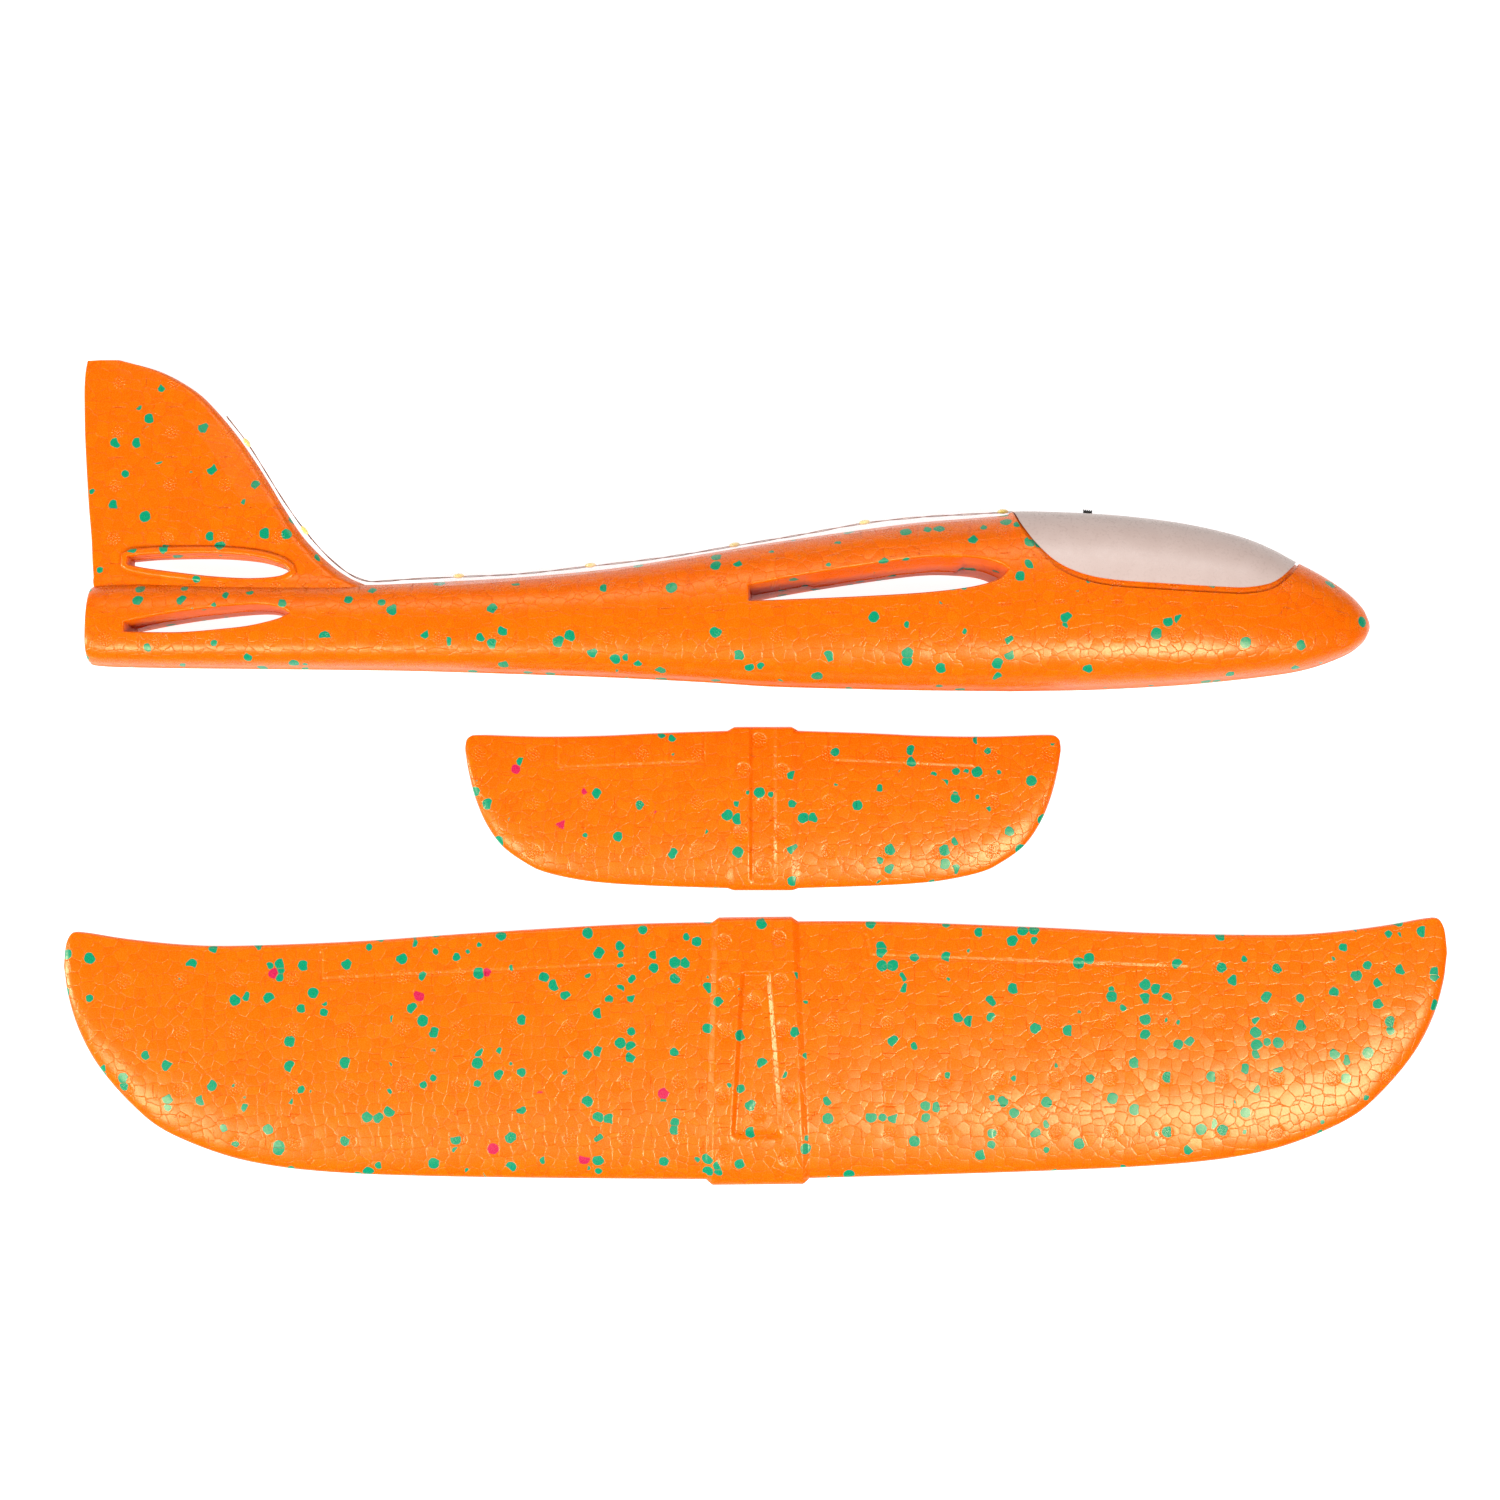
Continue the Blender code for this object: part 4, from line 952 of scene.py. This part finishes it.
def make_tailplane():
    spans = stops([
        (-104.6, -102.0, 0.3), (-102.0, -74.5, 0.8), (-74.5, -70.0, 0.35), (-70.0, -23.0, 0.8),
        (-23.0, -18.0, 0.35),
        (-18.0, 18.0, 0.36), (18.0, 26.0, 0.4), (26.0, 72.0, 0.8), (72.0, 77.0, 0.35), (77.0, 102.0, 0.8),
        (102.0, 104.6, 0.3),
    ])
    chords = stops([
        (0.0, 0.04, 0.004), (0.04, 0.14, 0.011), (0.14, 0.66, 0.015), (0.66, 0.984, 0.0085),
        (0.984, 1.0, 0.004),
    ])
    tail = panel("tailplane_foam", TAIL, spans, chords, tail_relief)
    mark_vents(tail, TAIL_VENTS)
    return finish_piece(tail, TAIL_FRAME, "tail_panel", TAIL_FOAM, ["tailplane"], smooth=60)


# ---------------------------------------------------------------- light string

WIRE = even(through(WIRE_ROUTE, 10), 420)


def tube(name, path, radius, sides=8):
    """A closed round tube along a path of points in millimetres."""
    path = np.asarray(path, float)
    along = np.gradient(path, axis=0)
    along /= np.linalg.norm(along, axis=1)[:, None]
    up = np.array([0.0, 0.0, 1.0])
    side = np.cross(along, up)
    side /= np.linalg.norm(side, axis=1)[:, None]
    lift = np.cross(side, along)
    rings = []
    for a in np.linspace(0, 2 * math.pi, sides, endpoint=False):
        rings.append(path + radius * (math.cos(a) * side + math.sin(a) * lift))
    return loft(name, np.stack(rings, axis=1))


def make_wires():
    run = np.linspace(0, 1, len(WIRE))
    for k, sign in enumerate((-1, 1)):
        twist = run * 2 * math.pi * 13 + 0.6 * np.sin(run * 41)
        away = 0.24 * sign
        path = np.column_stack([
            WIRE[:, 0],
            WIRE[:, 1] + away * np.cos(twist) * 0.8,
            away * np.sin(twist) * 1.0,
        ])
        strand = tube(f"light_wire_{'ab'[k]}", path, 0.13)
        replaced = ["light_wire"] if k == 0 else ()
        finish_piece(strand, BODY_FRAME, "airframe", COPPER, replaced, 80)


def ball(name, size, at, turn, around=28, layers=16):
    """A rounded drop: an ellipsoid with a flatter foot, its corners in the same order each run."""
    down = math.pi * np.arange(1, layers) / layers
    spin = 2 * math.pi * np.arange(around) / around
    rings = np.stack([
        np.outer(np.sin(down), np.cos(spin)),
        np.outer(np.sin(down), np.sin(spin)),
        np.outer(np.cos(down), np.ones(around)),
    ], axis=-1)
    points = 0.5 * np.vstack([[(0, 0, 1)], rings.reshape(-1, 3), [(0, 0, -1)]])
    bottom = len(points) - 1
    lowest = 1 + (layers - 2) * around
    faces = []
    for i in range(around):
        j = (i + 1) % around
        faces.append((0, 1 + i, 1 + j))
        for a in range(1, lowest, around):
            faces.append((a + i, a + around + i, a + around + j, a + j))
        faces.append((bottom, lowest + j, lowest + i))
    points[:, 2] = np.where(points[:, 2] < 0, points[:, 2] * 0.85, points[:, 2])
    points = points * size
    c, s = math.cos(turn), math.sin(turn)
    x, y = points[:, 0], points[:, 1]
    turned = np.column_stack([x * c - y * s, x * s + y * c, points[:, 2]])
    return piece(name, turned + np.array(at), faces)


def chip(name, size, at, turn):
    """A small block with bevelled edges."""
    obj = block(name, [-d / 2 for d in size], [d / 2 for d in size])
    bevel = obj.modifiers.new("edges", "BEVEL")
    bevel.width = 0.12 * MM
    bevel.segments = 2
    bake_modifiers(obj)
    return shift(obj, Matrix.Translation(Vector(at) * MM) @ Matrix.Rotation(turn, 4, "Z"))


def make_lights():
    for k, x in enumerate(LIGHT_X):
        index = int(np.argmin(np.abs(WIRE[:, 0] - x)))
        ahead = WIRE[min(index + 2, len(WIRE) - 1)] - WIRE[index - 2]
        turn = math.atan2(ahead[1], ahead[0])
        side = WIRE_RADIUS + GAP + LIGHT_SIZE[2] / 2
        at = (*WIRE[index], side)
        drop = ball(f"light_drop_{k + 1}", LIGHT_SIZE, at, turn)
        finish_piece(drop, BODY_FRAME, "airframe", DROP, [f"light_{k + 1}"], 80)
        core = chip(f"light_chip_{k + 1}", (1.7, 0.8, 0.6), at, turn)
        finish_piece(core, BODY_FRAME, "airframe", CHIP, (), 30)


def film_rings(stations, section, thickness=0.18):
    rings = []
    for station in stations:
        rings.append(section(station) + section(station, thickness)[::-1])
    return rings


def make_tapes():
    def spine(x, lift=0.0):
        wire_y = float(np.interp(x, WIRE[::-1, 0], WIRE[::-1, 1]))
        crest = wire_y + WIRE_RADIUS + GAP + 0.35 + lift
        made = []
        for z in np.linspace(-8.0, 8.0, 33):
            lying = crown_height(x, z, GAP + 0.1 + lift)
            share = min(max((8.0 - abs(z)) / 4.8, 0), 1)
            made.append((x, max(lying, lying + (crest - lying) * share), z))
        return made

    tape = loft("spine_film", film_rings(np.linspace(-108, 84, 120), spine))
    finish_piece(tape, BODY_FRAME, "airframe", FILM, ["spine_tape"], 50)

    fin = through(FIN_STATIONS, 6)

    def over_fin(height, lift=0.0):
        front = float(np.interp(height, fin[:, 0], fin[:, 2]))
        half = float(np.interp(height, fin[:, 0], fin[:, 3])) + GAP + 0.15 + lift
        near = WIRE[WIRE[:, 0] < -140]
        wire_x = float(np.interp(height, near[:, 1], near[:, 0]))
        nose = max(front, wire_x) + WIRE_RADIUS + 1.0 + lift
        crest, back = 3.0 + lift, front - 13.0
        side = [(back, half), (front - 9.0, half), (front - 5.0, half), (front - 1.5, max(half, crest)),
                (nose - 0.35, crest), (nose, 0.7 * crest)]
        low = [(x, height, -z) for x, z in side]
        return low + [(x, height, z) for x, z in reversed(side)]

    tape = loft("fin_film", film_rings(np.linspace(44, 74, 40), over_fin))
    finish_piece(tape, BODY_FRAME, "airframe", FIN_FILM, ["fin_tape"], 50)


# ---------------------------------------------------------------- light box and switch


def make_knob():
    """The slide switch's cap with ribs across its top."""
    top = 5.25
    outline = [(-0.8, -4.0), (0.8, -4.0), (0.8, 2.4), (1.5, 2.4), (1.5, top - 0.3)]
    for k in range(5):
        x = 1.4 - k * 0.7
        outline += [(x, top), (x - 0.25, top)]
        if k < 4:
            outline += [(x - 0.35, top - 0.35), (x - 0.6, top - 0.35)]
    outline += [(-1.5, top - 0.3), (-1.5, 2.4), (-0.8, 2.4)]
    knob = prism("switch_cap", outline, -0.75, 0.75)
    bevel = knob.modifiers.new("edges", "BEVEL")
    bevel.width = 0.08 * MM
    bevel.segments = 2
    bevel.limit_method = "ANGLE"
    bake_modifiers(knob)
    matrix = LIGHT_FRAME @ Matrix.Translation(Vector((KNOB_X, 0, 0)) * MM)
    finish_piece(knob, matrix, "switch_slider", BLACK, ["switch_knob"], 30)


def dress(node, look):
    """Gives a carried-over CAD node its look."""
    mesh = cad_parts[node].data
    mesh.materials.clear()
    mesh.materials.append(look)


make_fuselage()
make_canopy()
make_wing()
make_tailplane()
make_wires()
make_lights()
make_tapes()
make_knob()
for node, look in (
    ("battery_box", GREY), ("battery_lid", GREY), ("lid_screw", STEEL), ("nose_weight", STEEL),
    ("button_cell_1", STEEL), ("button_cell_2", STEEL), ("button_cell_3", STEEL),
    ("contact_rear", BRASS), ("contact_front", BRASS), ("contact_spring", BRASS),
    ("circuit_board", BOARD), ("switch_body", STEEL), ("box_pad", PAD),
):
    dress(node, look)

# ---------------------------------------------------------------- stage

scene = bpy.context.scene
scene.view_settings.view_transform = "Standard"
scene.view_settings.look = "None"

FLOOR_HALF, FLOOR_TOP = 3000, -0.06
FLOOR_GLOW = 0.95
FLOOR_SIGNS = ((-1, -1), (1, -1), (1, 1), (-1, 1))
floor_corners = [(a * FLOOR_HALF, b * FLOOR_HALF, FLOOR_TOP) for a, b in FLOOR_SIGNS]
floor = piece("floor", floor_corners, [(0, 1, 2, 3)])
floor_look, _, _ = new_look(
    "floor", (0.35, 0.35, 0.35), 0.9, Emission_Color=(1, 1, 1, 1), Emission_Strength=FLOOR_GLOW
)
floor.data.materials.append(floor_look)

world = bpy.data.worlds.new("studio")
world.use_nodes = True
backdrop = world.node_tree.nodes["Background"]
backdrop.inputs["Color"].default_value = (1, 1, 1, 1)
rays = world.node_tree.nodes.new("ShaderNodeLightPath")
seen = world.node_tree.nodes.new("ShaderNodeMapRange")  # a pale backdrop that adds little light
seen.inputs["To Min"].default_value = 0.05
seen.inputs["To Max"].default_value = 0.85
world.node_tree.links.new(rays.outputs["Is Camera Ray"], seen.inputs["Value"])
world.node_tree.links.new(seen.outputs["Result"], backdrop.inputs["Strength"])
scene.world = world


def softbox(name, at, towards, size, power, colour=(1, 1, 1)):
    light = bpy.data.lights.new(name, "AREA")
    light.shape = "RECTANGLE"
    light.size, light.size_y = size
    light.energy = power
    light.color = colour
    obj = bpy.data.objects.new(name, light)
    scene.collection.objects.link(obj)
    obj.location = at
    obj.rotation_euler = (Vector(towards) - Vector(at)).to_track_quat("-Z", "Y").to_euler()


softbox("right_box", (0.42, -0.49, 1.15), (0.1, -0.05, 0.0), (0.34, 0.55), 17.0)
softbox("front_box", (-0.6, -0.64, 1.15), (-0.1, -0.05, 0.0), (0.34, 0.42), 9.5)
softbox("left_box", (-1.35, -0.2, 0.8), (0.0, 0.0, 0.0), (0.22, 0.7), 20.0)
softbox("back_box", (0.1, 1.2, 1.0), (0.0, 0.0, 0.0), (1.6, 0.3), 8.0)

camera = bpy.data.cameras.new("camera")
camera.sensor_width = 36.0
camera.lens = 59.83
camera.clip_end = 20.0
eye = bpy.data.objects.new("camera", camera)
eye.location = (-0.00187, 0.00796, 0.880)
scene.collection.objects.link(eye)
scene.camera = eye

bpy.context.view_layer.update()
